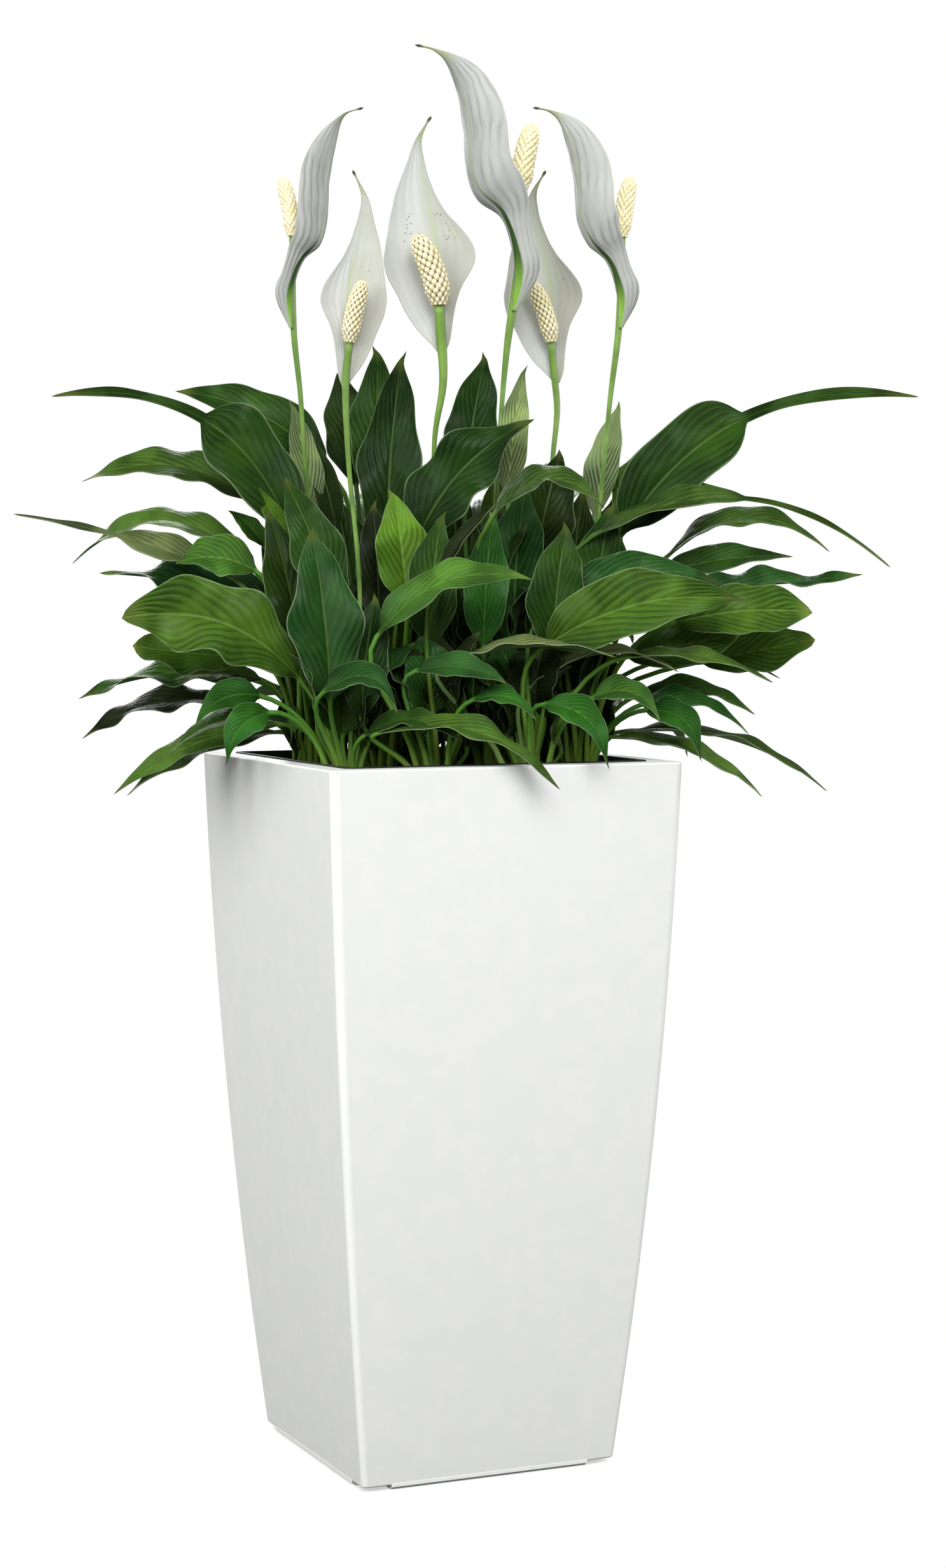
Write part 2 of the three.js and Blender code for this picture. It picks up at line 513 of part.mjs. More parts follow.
// One leaf: a round stalk that springs from its crown, and a blade folded along its
// midrib, with a waved margin and a drawn-out tip, all in one closed skin.
function leafSolid([crown, neckAt, tipAt, width, bow, roll, wave, outline = 'plain'], index) {
  const neck = point(neckAt);
  const tip = point(tipAt);
  const chord = tip.clone().sub(neck);
  const heading = new THREE.Vector3(chord.x, chord.y, 0).normalize();
  const level = new THREE.Vector3().crossVectors(up, heading);
  const rise = new THREE.Vector3().crossVectors(chord, level).normalize();
  const crest = neck.clone().lerp(tip, 0.5).addScaledVector(rise, 2 * bow);
  const midrib = new THREE.QuadraticBezierCurve3(neck, crest, tip);

  const [crownX, crownY] = crowns[crown];
  const outward = new THREE.Vector3(neck.x - crownX, neck.y - crownY, 0).setLength(crownRadius * stalkSpread);
  const foot = new THREE.Vector3(crownX, crownY, -soilDrop).add(outward);
  const reach = foot.distanceTo(neck);
  const stalk = new THREE.CubicBezierCurve3(
    foot,
    foot.clone().addScaledVector(up, stalkRise * reach),
    neck.clone().addScaledVector(midrib.getTangent(0), -stalkRunOut * reach),
    neck,
  );

  const sideAt = (ahead, turn) => {
    const side = level.clone().addScaledVector(ahead, -level.dot(ahead)).normalize();
    return side.applyAxisAngle(ahead, radians(turn));
  };
  const alongStalk = reach < longStalk ? stalkSteps.short : stalkSteps.long;
  const alongBlade = width < wideBlade ? bladeSteps.narrow : bladeSteps.wide;
  const stalkRings = alongStalk.map((along) => {
    const ahead = stalk.getTangent(along);
    const round = { half: leafStalkRadius, middle: leafStalkRadius, edge: leafStalkRadius / 2 };
    const side = sideAt(ahead, roll[0] * along ** 2);
    return bladeRing(stalk.getPoint(along), ahead, side, { ...round, rightLift: 0, leftLift: 0 });
  });
  const bladeRings = alongBlade.map((along) => {
    const slender = lerp(leafStalkRadius, leafTipRadius, Math.min(1, 3 * along));
    const share = bladeShare(along, outlines[outline]);
    const half = Math.max(slender, (width / 2) * share);
    const raised = (half - slender) * Math.tan(radians(lerp(foldAtNeck, fold, Math.min(1, 4 * along))));
    const rightWave = Math.sin(radians(rightWaves.along * along + rightWaves.each * index));
    const leftWave = Math.cos(radians(leftWaves.along * along + leftWaves.each * index));
    const ahead = midrib.getTangent(along);
    return bladeRing(midrib.getPoint(along), ahead, sideAt(ahead, lerp(roll[0], roll[1], along)), {
      half,
      middle: lerp(leafMiddle, leafTipRadius, along) + (along === 0 ? leafStalkRadius - leafMiddle : 0),
      edge: along === 0 ? leafStalkRadius / 2 : leafEdge,
      rightLift: raised + wave * share * rightWave,
      leftLift: raised + wave * share * leftWave,
    });
  });
  return solidOf(skin([...stalkRings, ...bladeRings], cutBlade));
}

// The leaves of the hidden side, worked out from their tiers.
function backLeaves() {
  return backTiers.flatMap((tier) => tier.crowns.map((crown, place) => {
    const bearing = radians(tier.from + tier.turn * place);
    const spot = (out, z) => [out * Math.cos(bearing), out * Math.sin(bearing), z];
    const lean = place % 2 === 0 ? 10 : -10;
    return [crown, spot(tier.out[0], tier.neck), spot(tier.out[1], tier.tip + lean), tier.width, tier.bow,
      [lean, -lean], 2];
  }));
}

// One crown of the plant: the short root stock in the soil and every leaf that grows from it.
function crownGeometry(name) {
  const [x, y] = crowns[name];
  const bottom = -soilDrop - rootDepth;
  const height = rootDepth + crownRise;
  const stock = new THREE.CylinderGeometry(crownRadius * 0.9, crownRadius, height, 6);
  stock.rotateX(Math.PI / 2);
  stock.translate(x, y, bottom + height / 2);
  const own = [];
  [...leaves, ...backLeaves()].forEach((leaf, index) => {
    if (leaf[0] === name) own.push(leafSolid(leaf, index));
  });
  return geometryOf(join([solidOf(stock), ...own]));
}

// ---------------------------------------------------------------- blooms

function tube(curve, radius, steps) {
  const section = new THREE.Shape();
  for (let side = 0; side < 6; side += 1) {
    const turn = (side * Math.PI) / 3;
    const corner = [radius * Math.cos(turn), radius * Math.sin(turn)];
    if (side === 0) section.moveTo(...corner);
    else section.lineTo(...corner);
  }
  section.closePath();
  return new THREE.ExtrudeGeometry(section, { steps, bevelEnabled: false, extrudePath: curve });
}

// The stem goes straight down into its hole in the soil, and up to the foot of the spadix.
function stemCurve(bloom) {
  const [x, y, soil] = bloom.stem[0];
  const course = [[x, y, soil - rootDepth], [x, y, soil - rootDepth / 2], ...bloom.stem];
  return new THREE.CatmullRomCurve3(course.map(point), false, 'centripetal');
}

// How wide one side of a spathe is along its length, as a share of its full width.
function spatheShare(along, outline) {
  const rows = spatheOutlines[outline];
  const next = Math.max(1, rows.findIndex(([place]) => place >= along));
  const [[low, before], [high, after]] = rows.slice(next - 1, next + 1);
  return lerp(before, after, (along - low) / (high - low));
}

// The spathe: one thin white sheet that curls forward to both sides of its midrib, turns
// as it rises and runs out in a fine point. It stands clear behind the stem that bears it.
function spatheGeometry(bloom) {
  const midrib = new THREE.CatmullRomCurve3(bloom.midrib.map(point), false, 'centripetal');
  const across = [1, 0.5, 0, -0.5, -1];
  const steps = [0, 0.08, 0.18, 0.29, 0.4, 0.52, 0.64, 0.77, 0.89, 1];
  const rings = steps.map((along) => {
    const ahead = midrib.getTangentAt(along);
    const face = radians(lerp(bloom.faces[0], bloom.faces[1], Math.min(1, spatheTurnSpeed * along)));
    const front = new THREE.Vector3(Math.sin(face), -Math.cos(face), 0);
    front.addScaledVector(ahead, -front.dot(ahead)).normalize();
    const side = new THREE.Vector3().crossVectors(front, ahead);
    const centre = midrib.getPointAt(along);
    const curl = radians(bloom.curl);
    const sheet = (share, offset) => {
      const [width, outline] = bloom.sides[share > 0 ? 0 : 1];
      const half = Math.max(leafTipRadius, width * spatheShare(along, outline));
      const turn = curl * share;
      const out = (half * Math.sin(turn)) / curl;
      const forward = (half * (1 - Math.cos(turn))) / curl;
      const spot = centre.clone().addScaledVector(side, out).addScaledVector(front, forward);
      return spot.addScaledVector(side, -offset * Math.sin(turn)).addScaledVector(front, offset * Math.cos(turn));
    };
    const inner = across.map((share) => sheet(share, spatheThickness / 2));
    const outer = across.map((share) => sheet(share, -spatheThickness / 2));
    return [...inner, ...outer.reverse()];
  });
  const cutSpathe = (ring, column) => (column % 5 > 1);
  const clearance = tube(stemCurve(bloom), scapeRadius + gap * 1.4, scapeSteps);
  const clear = solidOf(skin(rings, cutSpathe)).subtract(solidOf(clearance));
  const whole = clear.decompose().sort((a, b) => b.volume() - a.volume())[0];
  return geometryOf(whole);
}

// The spadix: a blunt finger covered with florets, which stand out as a diamond relief.
function spadixGeometry(bloom) {
  const curve = stemCurve(bloom);
  const ahead = curve.getTangent(1);
  const foot = curve.getPoint(1).addScaledVector(ahead, gap);
  const axis = new THREE.QuadraticBezierCurve3(
    foot,
    foot.clone().addScaledVector(ahead, foot.distanceTo(point(bloom.spadix)) / 2),
    point(bloom.spadix),
  );
  const around = 8;
  const steps = 12;
  const rings = [];
  for (let ring = 0; ring <= steps; ring += 1) {
    const along = ring / steps;
    const forward = axis.getTangent(along);
    const side = new THREE.Vector3().crossVectors(new THREE.Vector3(0, 1, 0), forward).normalize();
    const other = new THREE.Vector3().crossVectors(forward, side);
    const swell = Math.min(1, spadixFoot + spadixSwell * along);
    const radius = bloom.spadixRadius * swell * Math.max(spadixTop, Math.sqrt(1 - along ** 6));
    rings.push(Array.from({ length: around }, (_, column) => {
      const turn = (column / around) * 2 * Math.PI;
      const relief = ring === 0 || ring === steps ? 1 : 1 + spadixRelief * (-1) ** (ring + column);
      return axis.getPoint(along)
        .addScaledVector(side, radius * relief * Math.cos(turn))
        .addScaledVector(other, radius * relief * Math.sin(turn));
    }));
  }
  return skin(rings, (ring, column) => (ring + column) % 2 === 1);
}

// ---------------------------------------------------------------- the whole plant

const plant = new THREE.Group();
plant.rotation.z = radians(plantTurn);
plant.position.z = planterHeight;
plant.updateMatrixWorld();

for (const name of Object.keys(crowns)) {
  plant.add(piece(`crown_${name}`, crownGeometry(name), deepGreen));
}
blooms.forEach((bloom, index) => {
  const number = index + 1;
  plant.add(piece(`scape_${number}`, tube(stemCurve(bloom), scapeRadius, scapeSteps), stemGreen));
  plant.add(piece(`spathe_${number}`, spatheGeometry(bloom), spatheWhite));
  plant.add(piece(`spadix_${number}`, spadixGeometry(bloom), spadixCream));
});

const model = new THREE.Group();
model.add(piece('planter', planterGeometry(), whitePlastic));
model.add(piece('liner', linerGeometry(), blackPlastic));
model.add(piece('soil', soilGeometry(plant.matrixWorld), darkSoil));
model.add(plant);

export default model;
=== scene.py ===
# %% [markdown]
# # A potted peace lily
#
# This notebook dresses a measured model of a peace lily in a tall square planter. The solids of
# the model give every place and size. Each of them is replaced here by a finer mesh that keeps
# its form, and gets a finish made of shader nodes. Lengths inside the functions are in
# millimetres, as a maker measures a plant, and each piece is brought to metres at the end.

import math
import random

import bmesh
import bpy
from bmesh.types import BMEdge, BMVert
from mathutils import Matrix, Vector, noise


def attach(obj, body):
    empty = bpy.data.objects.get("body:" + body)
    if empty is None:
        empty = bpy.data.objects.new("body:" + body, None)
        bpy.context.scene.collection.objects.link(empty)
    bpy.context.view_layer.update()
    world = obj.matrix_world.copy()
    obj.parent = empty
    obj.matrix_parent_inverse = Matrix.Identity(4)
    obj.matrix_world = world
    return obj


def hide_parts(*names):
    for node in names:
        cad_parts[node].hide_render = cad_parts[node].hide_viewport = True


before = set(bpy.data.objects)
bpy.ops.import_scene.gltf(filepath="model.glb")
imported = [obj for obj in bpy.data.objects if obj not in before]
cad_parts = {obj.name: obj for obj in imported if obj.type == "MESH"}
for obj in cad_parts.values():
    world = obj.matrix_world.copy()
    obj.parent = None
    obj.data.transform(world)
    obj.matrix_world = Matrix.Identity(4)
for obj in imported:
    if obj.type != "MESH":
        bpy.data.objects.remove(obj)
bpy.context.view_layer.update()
scene = bpy.context.scene

# %% [markdown]
# ## Camera
#
# The photograph was taken from a little above the rim, far back with a long lens, so the
# planter's sides stay almost parallel. The planter's eight corners were enough to solve where
# the camera stood. A camera object looks along its own -Z, so it is tipped up by 90 degrees less
# the tilt, and then turned about the vertical.

# %% Set the camera
CAMERA_SPOT = (-0.98563, -2.29053, 0.69606)
CAMERA_TURN = -23.965
CAMERA_TILT = 3.626
CAMERA_LENS = 71.4

camera_data = bpy.data.cameras.new("studio_camera")
camera_data.lens = CAMERA_LENS
camera_data.clip_end = 100
camera = bpy.data.objects.new("studio_camera", camera_data)
camera.location = CAMERA_SPOT
camera.rotation_euler = (math.radians(90 - CAMERA_TILT), 0, math.radians(CAMERA_TURN))
scene.collection.objects.link(camera)
scene.camera = camera
print("camera height in metres:", CAMERA_SPOT[2])

# %% [markdown]
# ## Helpers for meshes
#
# Most pieces of a plant are long skins: a leaf, a stem and a flower are each a closed tube that
# swells, flattens and bends. A flat grid can be rolled into any of them. The grid operator
# makes the faces, each of its points is moved to its place on the skin, and a weld closes the
# seam and the two ends. That keeps the faces in neat rows, which shade smoothly and carry a
# pattern along the piece.

# %% Roll a grid into a closed skin
WELD = 1e-4
TO_METRES = Matrix.Scale(0.001, 4)


def rolled_grid(bm, rings, layers):
    """Adds a closed skin. rings[row][column] is a point and its values for the layers."""
    around = len(rings[0])
    along = len(rings) - 1
    made = bmesh.ops.create_grid(bm, x_segments=around, y_segments=along, size=0.5)
    for vert in made["verts"]:
        column = round((vert.co.x + 0.5) * around) % around
        row = round((vert.co.y + 0.5) * along)
        vert.co, values = rings[row][column]
        for layer, value in zip(layers, values):
            vert[layer] = value
    bmesh.ops.remove_doubles(bm, verts=made["verts"], dist=WELD)


print("points nearer than", WELD, "mm are welded")


# %% Short words for meshes
def only(kind, parts):
    """The vertices or the edges among the parts that an operator hands back."""
    return [part for part in parts if isinstance(part, kind)]


def soften(bm, parts, offset, segments, affect="EDGES"):
    """Rounds edges or corners off with a bevel."""
    bmesh.ops.bevel(
        bm, geom=parts, offset=offset, offset_type="OFFSET", segments=segments, profile=0.5,
        affect=affect, material=-1)


def face_outwards(bm):
    bmesh.ops.recalc_face_normals(bm, faces=bm.faces[:])


def mesh_object(bm, name, material):
    """Turns a mesh into an object with one material."""
    mesh = bpy.data.meshes.new(name)
    bm.to_mesh(mesh)
    bm.free()
    mesh.materials.append(material)
    made = bpy.data.objects.new(name, mesh)
    scene.collection.objects.link(made)
    return made


def piece(bm, name, nodes, material, place=TO_METRES):
    """Turns a mesh in millimetres into a piece that stands for the nodes of the model."""
    bm.transform(place)
    made = mesh_object(bm, name, material)
    made.data.shade_smooth()
    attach(made, "root")
    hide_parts(*nodes)
    print(name, "has", len(made.data.polygons), "faces")
    return made


# %% [markdown]
# ## Helpers for finishes
#
# A finish is a tree of shader nodes. Short functions keep the trees readable: one gives a socket a
# value, a colour or a link, and the others add a node, a step of arithmetic or a blend of two
# colours. Every pattern reads Object coordinates or the skin's own numbers, so it stays in its
# place on the piece from whatever side it is seen.

# %% Colours, sockets and nodes
def paint(code):
    """A colour as painters write it on screen, such as 2f6b25, made linear for a shader."""
    channels = [int(code[place:place + 2], 16) / 255 for place in (0, 2, 4)]
    return (*(((c + 0.055) / 1.055) ** 2.4 if c > 0.04045 else c / 12.92 for c in channels), 1)


def feed(tree, socket, value):
    """Links another node's output to a socket, or sets the socket's own value or colour."""
    if isinstance(value, bpy.types.NodeSocket):
        tree.links.new(value, socket)
    else:
        socket.default_value = paint(value) if isinstance(value, str) else value


def add(tree, kind, inputs=None, **settings):
    """Adds a shader node with its settings and its inputs."""
    made = tree.nodes.new("ShaderNode" + kind)
    for name, value in settings.items():
        setattr(made, name, value)
    for name, value in (inputs or {}).items():
        feed(tree, made.inputs[name], value)
    return made


print("a leaf green made linear:", [round(c, 3) for c in paint("2f6b25")])


# %% Arithmetic and blends
def maths(tree, operation, *values):
    """Adds one step of arithmetic and returns its result."""
    made = add(tree, "Math", operation=operation)
    for socket, value in zip(made.inputs, values):
        feed(tree, socket, value)
    return made.outputs[0]


def times(tree, product, *others):
    """Multiplies two or more values."""
    for value in others:
        product = maths(tree, "MULTIPLY", product, value)
    return product


def scaled(tree, value, factor, start):
    """A value times a factor, counted from a start."""
    return maths(tree, "MULTIPLY_ADD", value, factor, start)


def inverse(tree, value):
    """1 where the value is 0, and 0 where it is 1."""
    return maths(tree, "SUBTRACT", 1.0, value)


def between(tree, value, low, high, start=0.0, end=1.0):
    """Runs smoothly from start to end while the value goes from low to high."""
    inputs = {"Value": value, "From Min": low, "From Max": high, "To Min": start, "To Max": end}
    return add(tree, "MapRange", inputs, interpolation_type="SMOOTHSTEP").outputs[0]


def blend(tree, share, first, second):
    """Mixes two colours: all of the first at a share of 0, all of the second at 1."""
    return add(tree, "Mix", {0: share, 6: first, 7: second}, data_type="RGBA").outputs[2]


def cloud(tree, here, scale, detail):
    """Soft noise between 0 and 1."""
    return add(tree, "TexNoise", {"Vector": here, "Scale": scale, "Detail": detail}).outputs["Fac"]


# %% What every finish starts from and ends with
def new_finish(name):
    """A new material: itself, its tree, its main shader and the Object coordinates."""
    made = bpy.data.materials.new(name)
    made.use_nodes = True
    tree = made.node_tree
    return made, tree, tree.nodes["Principled BSDF"], add(tree, "TexCoord").outputs["Object"]


def skin_place(tree, name):
    """The three numbers that say where on its skin a point is."""
    place = add(tree, "Attribute", attribute_name=name).outputs["Vector"]
    return add(tree, "SeparateXYZ", {"Vector": place}).outputs


def emboss(tree, shader, height, depth, strength=1.0):
    """Gives a finish its relief. Depth is in metres."""
    bump = add(tree, "Bump", {"Height": height, "Distance": depth, "Strength": strength})
    feed(tree, shader.inputs["Normal"], bump.outputs["Normal"])


# %% [markdown]
# ## Effects that several finishes share
#
# Three things show on almost every surface here. Moulded plastic, soil and leaf skin all have a
# fine grain. No surface has quite the same tone all over, so a second colour drifts through it in
# soft patches. And both the leaves and the flowers are ribbed: a peace lily's veins leave the
# midrib, sweep towards the tip, and pleat the sheet between them. Each effect is a node group,
# made once. A short function then places it in a finish with the values that it has there.

# %% Make and place a shared effect
def new_effect(name, inputs, outputs):
    """A node group, with the sockets that it is given and those that it fills."""
    group = bpy.data.node_groups.new(name, "ShaderNodeTree")
    for sockets, way in ((inputs, "INPUT"), (outputs, "OUTPUT")):
        for socket, kind in sockets.items():
            group.interface.new_socket(socket, in_out=way, socket_type="NodeSocket" + kind)
    start, end = group.nodes.new("NodeGroupInput"), group.nodes.new("NodeGroupOutput")
    return group, start.outputs, end.inputs


def place_effect(tree, group, **inputs):
    """Places a shared effect in a finish and returns what it puts out."""
    made = tree.nodes.new("ShaderNodeGroup")
    made.node_tree = group
    for name, value in inputs.items():
        feed(tree, made.inputs[name], value)
    return made.outputs


# %% Fine grain
GRAIN_DETAIL = 3.0


def make_grain():
    """Height of a fine grain. Size is in metres."""
    group, given, result = new_effect(
        "fine_grain", {"Vector": "Vector", "Size": "Float"}, {"Height": "Float"})
    scale = maths(group, "DIVIDE", 1.0, given["Size"])
    feed(group, result["Height"], cloud(group, given["Vector"], scale, GRAIN_DETAIL))
    return group


GRAIN = make_grain()
print("shared effect:", GRAIN.name)


def grain_of(tree, here, size):
    return place_effect(tree, GRAIN, Vector=here, Size=size)["Height"]


# %% Drifting tone
DRIFT_DETAIL = 4.0
DRIFT_EDGES = (0.35, 0.65)


def make_drift():
    """A second colour that drifts through the first in soft patches. Size is in metres."""
    inputs = {"Vector": "Vector", "Colour": "Color", "Other": "Color", "Size": "Float", "Amount": "Float"}
    group, given, result = new_effect("drifting_tone", inputs, {"Colour": "Color"})
    scale = maths(group, "DIVIDE", 1.0, given["Size"])
    patch = between(group, cloud(group, given["Vector"], scale, DRIFT_DETAIL), *DRIFT_EDGES)
    share = times(group, patch, given["Amount"])
    feed(group, result["Colour"], blend(group, share, given["Colour"], given["Other"]))
    return group


DRIFT = make_drift()
print("shared effect:", DRIFT.name)


def drifting(tree, here, colour, other, size, amount):
    return place_effect(
        tree, DRIFT, Vector=here, Colour=colour, Other=other, Size=size, Amount=amount)["Colour"]


# %% Ribs that sweep from the midrib
RIB_CURVE = 1.15
RIB_WANDER_SCALE = 45.0
RIB_PATCH_SCALE = 30.0
RIB_PATCH_EDGES = (0.36, 0.6)
WEAKEST_RIB = 0.3
VEIN_SHARPNESS = 7.0


def make_ribs():
    """Pleats and veins, strong in patches. Across is 0 at the midrib and 1 at the margins."""
    numbers = dict.fromkeys(("Across", "Along", "Ribs", "Sweep", "Wander"), "Float")
    inputs = {"Vector": "Vector", **numbers}
    group, given, result = new_effect("swept_ribs", inputs, {"Pleat": "Float", "Vein": "Float"})
    out = maths(group, "POWER", maths(group, "ABSOLUTE", given["Across"]), RIB_CURVE)
    aside = maths(group, "SUBTRACT", cloud(group, given["Vector"], RIB_WANDER_SCALE, 1.0), 0.5)
    stray = times(group, aside, given["Wander"])
    course = scaled(group, given["Along"], given["Ribs"], stray)
    phase = maths(group, "SUBTRACT", course, times(group, out, given["Sweep"]))
    wave = maths(group, "COSINE", times(group, phase, 2 * math.pi))
    patches = cloud(group, given["Vector"], RIB_PATCH_SCALE, 1.0)
    strength = between(group, patches, *RIB_PATCH_EDGES, WEAKEST_RIB, 1.0)
    pleat = scaled(group, times(group, wave, strength), 0.5, 0.5)
    feed(group, result["Pleat"], pleat)
    feed(group, result["Vein"], maths(group, "POWER", inverse(group, pleat), VEIN_SHARPNESS))
    return group


RIBS = make_ribs()
print("shared effect:", RIBS.name)


def ribs_of(tree, here, across, along, ribs, sweep, wander):
    """The pleats and the veins of a finish."""
    made = place_effect(
        tree, RIBS, Vector=here, Across=across, Along=along, Ribs=ribs, Sweep=sweep, Wander=wander)
    return made["Pleat"], made["Vein"]


# %% [markdown]
# ## The planter's finish
#
# The planter is white plastic with a satin face. Close up it isn't one flat white: faint cool and
# warm patches drift through it, and the moulding left a very fine grain. Both are far weaker
# than the eye expects, because a strong pattern would read as stone.

# %% White and black plastic
PLASTIC_GLOSS = 0.3
PLASTIC_RELIEF = 0.6
RUB = 0.04


def make_plastic(name, colour, other, roughness, patch, amount, grain_size, grain_depth):
    """Colour drifts into the other in patches. Sizes are in metres."""
    made, tree, shader, here = new_finish(name)
    drift = drifting(tree, here, colour, other, size=patch, amount=amount)
    feed(tree, shader.inputs["Base Color"], drift)
    grain = grain_of(tree, here, grain_size)
    emboss(tree, shader, grain, grain_depth, PLASTIC_RELIEF)
    rubbed = between(tree, grain, 0.3, 0.7, roughness - RUB, roughness + RUB)
    feed(tree, shader.inputs["Roughness"], rubbed)
    shader.inputs["Specular IOR Level"].default_value = PLASTIC_GLOSS
    return made


WHITE_PLASTIC = make_plastic(
    "white_satin_plastic", "eeeeec", "e6ebe6", roughness=0.4, patch=0.018, amount=0.5,
    grain_size=0.0012, grain_depth=0.00006)
BLACK_PLASTIC = make_plastic(
    "black_plastic", "17181a", "24262a", roughness=0.5, patch=0.03, amount=0.6,
    grain_size=0.0008, grain_depth=0.0001)
print("finishes:", WHITE_PLASTIC.name, BLACK_PLASTIC.name)

# %% [markdown]
# ## Planter and liner
#
# The planter is a tall square tube that narrows towards the foot, first evenly and then faster.
# Its rim is a flat band that folds inwards to a lip. The black liner hangs on a ledge under the
# lip, and its collar shows as a thin dark line along the rim. Both are made as a potter pulls a
# wall: start from the floor, a square whose corners are rounded with a bevel, and pull its edge
# up, over and down through a profile of half-widths and heights. A second bevel takes the
# sharpness off the rim and the foot. The planter stands on a low plinth in the shape of a cross,
# with a thin step as wide as the foot around it.

# %% Pull a square wall through a profile
PLANTER_HEIGHT = 560
PLANTER_TOP = 295
PLANTER_FOOT = 216
PLANTER_WALL = 4
CORNER = 5
CORNER_STEPS = 6
EDGE_STEPS = 4
STRAIGHT_SHARE = 0.43
RIM_WIDTH = 20
LIP_DEPTH = 16
LEDGE = 5
FOOT_RISE = 4
GAP = 0.3


def square_shell(profile, rounded, rounding):
    """A closed shell. Profile is rows of (half width, height); rounded picks rows to soften."""
    bm = bmesh.new()
    half, height = profile[0]
    turn = Matrix.Translation((0, 0, height)) @ Matrix.Rotation(math.pi / 4, 4, "Z")
    bmesh.ops.create_circle(bm, cap_ends=True, segments=4, radius=half * math.sqrt(2), matrix=turn)
    soften(bm, bm.verts[:], CORNER, CORNER_STEPS, "VERTICES")
    ring = bm.edges[:]
    rings = [ring]
    for (before, low), (after, high) in zip(profile, profile[1:]):
        pulled = bmesh.ops.extrude_edge_only(bm, edges=ring)["geom"]
        corners = only(BMVert, pulled)
        bmesh.ops.scale(bm, vec=(after / before, after / before, 1), verts=corners)
        bmesh.ops.translate(bm, vec=(0, 0, high - low), verts=corners)
        ring = only(BMEdge, pulled)
        rings.append(ring)
    bmesh.ops.edgeloop_fill(bm, edges=ring)
    soften(bm, [edge for row in rounded for edge in rings[row]], rounding, EDGE_STEPS)
    face_outwards(bm)
    return bm


def planter_half(z):
    """Half the planter's width at a height."""
    drop = (PLANTER_HEIGHT - z) / (PLANTER_HEIGHT - FOOT_RISE)
    taper = (PLANTER_TOP - PLANTER_FOOT) / 2
    return PLANTER_TOP / 2 - taper * (STRAIGHT_SHARE * drop + (1 - STRAIGHT_SHARE) * drop ** 2)


def even_normals(made):
    """Keeps broad flat walls flat beside their rounded corners."""
    made.modifiers.new("even_normals", "WEIGHTED_NORMAL")


print("planter's width at half its height:", round(2 * planter_half(PLANTER_HEIGHT / 2)), "mm")

# %% Plinth
PLINTH_NOTCH = 24
PLINTH_HEIGHTS = (0, 6)
PLINTH_EDGE = 3
PLINTH_ROUNDING = 1
PLINTH_STEPS = 3
SKIRT_HEIGHTS = (2.3, 5.7)
SKIRT_EDGE = -0.3
SKIRT_ROUNDING = 0.5
print("the plinth's cross is", PLANTER_FOOT - 2 * PLINTH_EDGE, "mm across")


def add_plinth(bm, low, high, edge, rounding):
    """A cross-shaped step: a grid of nine fields without its corners, raised and softened."""
    reach = PLANTER_FOOT / 2 - edge
    notch = PLANTER_FOOT / 2 - PLINTH_NOTCH
    made = bmesh.ops.create_grid(bm, x_segments=3, y_segments=3, size=0.5)["verts"]
    for vert in made:
        x, y = (math.copysign(reach if abs(c) > 0.4 else notch, c) for c in vert.co.xy)
        vert.co = (x, y, low)
    fields = {face for vert in made for face in vert.link_faces}
    corners = [face for face in fields if min(abs(c) for c in face.calc_center_median().xy) > notch]
    bmesh.ops.delete(bm, geom=corners, context="FACES")
    fields = [face for face in fields if face.is_valid]
    top = only(BMVert, bmesh.ops.extrude_face_region(bm, geom=fields, use_keep_orig=True)["geom"])
    bmesh.ops.translate(bm, vec=(0, 0, high - low), verts=top)
    upright = {e for vert in top for e in vert.link_edges if abs(e.verts[0].co.z - e.verts[1].co.z) > 1}
    outline = set()
    for level in (low, high):
        flat = {e for e in bm.edges if e.is_valid and max(abs(v.co.z - level) for v in e.verts) < 1e-3}
        outline |= {e for e in flat if any(abs(f.normal.z) < 0.5 for f in e.link_faces)}
    soften(bm, list(upright | outline), rounding, PLINTH_STEPS)


# %% Planter
WALL_STEPS = 24
INSIDE_HEIGHTS = (400, 250, 120)
RIM_ROUNDING = 1.6


def make_planter():
    opening = PLANTER_TOP / 2 - RIM_WIDTH
    ledge = PLANTER_HEIGHT - LIP_DEPTH
    floor = FOOT_RISE + PLANTER_WALL
    under_rim = PLANTER_HEIGHT - PLANTER_WALL
    steps = range(WALL_STEPS + 1)
    heights = [FOOT_RISE + (PLANTER_HEIGHT - FOOT_RISE) * step / WALL_STEPS for step in steps]
    outside = [(planter_half(z), z) for z in heights]
    lip = [
        (opening, PLANTER_HEIGHT),
        (opening, ledge),
        (opening - LEDGE, ledge),
        (opening - LEDGE, ledge - PLANTER_WALL),
        (opening + PLANTER_WALL, ledge - PLANTER_WALL),
        (opening + PLANTER_WALL, under_rim),
    ]
    inside = [(planter_half(z) - PLANTER_WALL, z) for z in (under_rim, *INSIDE_HEIGHTS, floor)]
    bm = square_shell(outside + lip + inside, (0, WALL_STEPS, WALL_STEPS + 1), RIM_ROUNDING)
    add_plinth(bm, *PLINTH_HEIGHTS, PLINTH_EDGE, PLINTH_ROUNDING)
    add_plinth(bm, *SKIRT_HEIGHTS, SKIRT_EDGE, SKIRT_ROUNDING)
    even_normals(piece(bm, "planter_body", ["planter"], WHITE_PLASTIC))


make_planter()

# %% Liner
LINER_DEPTH = 300
LINER_WALL = 2.5
LINER_FOOT = 210
COLLAR_RISE = 1
COLLAR_ROUNDING = 0.7


def liner_half(z):
    """Half the liner's width at a height."""
    top = PLANTER_HEIGHT - LIP_DEPTH
    top_half = PLANTER_TOP / 2 - RIM_WIDTH - LEDGE - 2 * GAP
    return top_half + (LINER_FOOT / 2 - top_half) * (top - z) / LINER_DEPTH


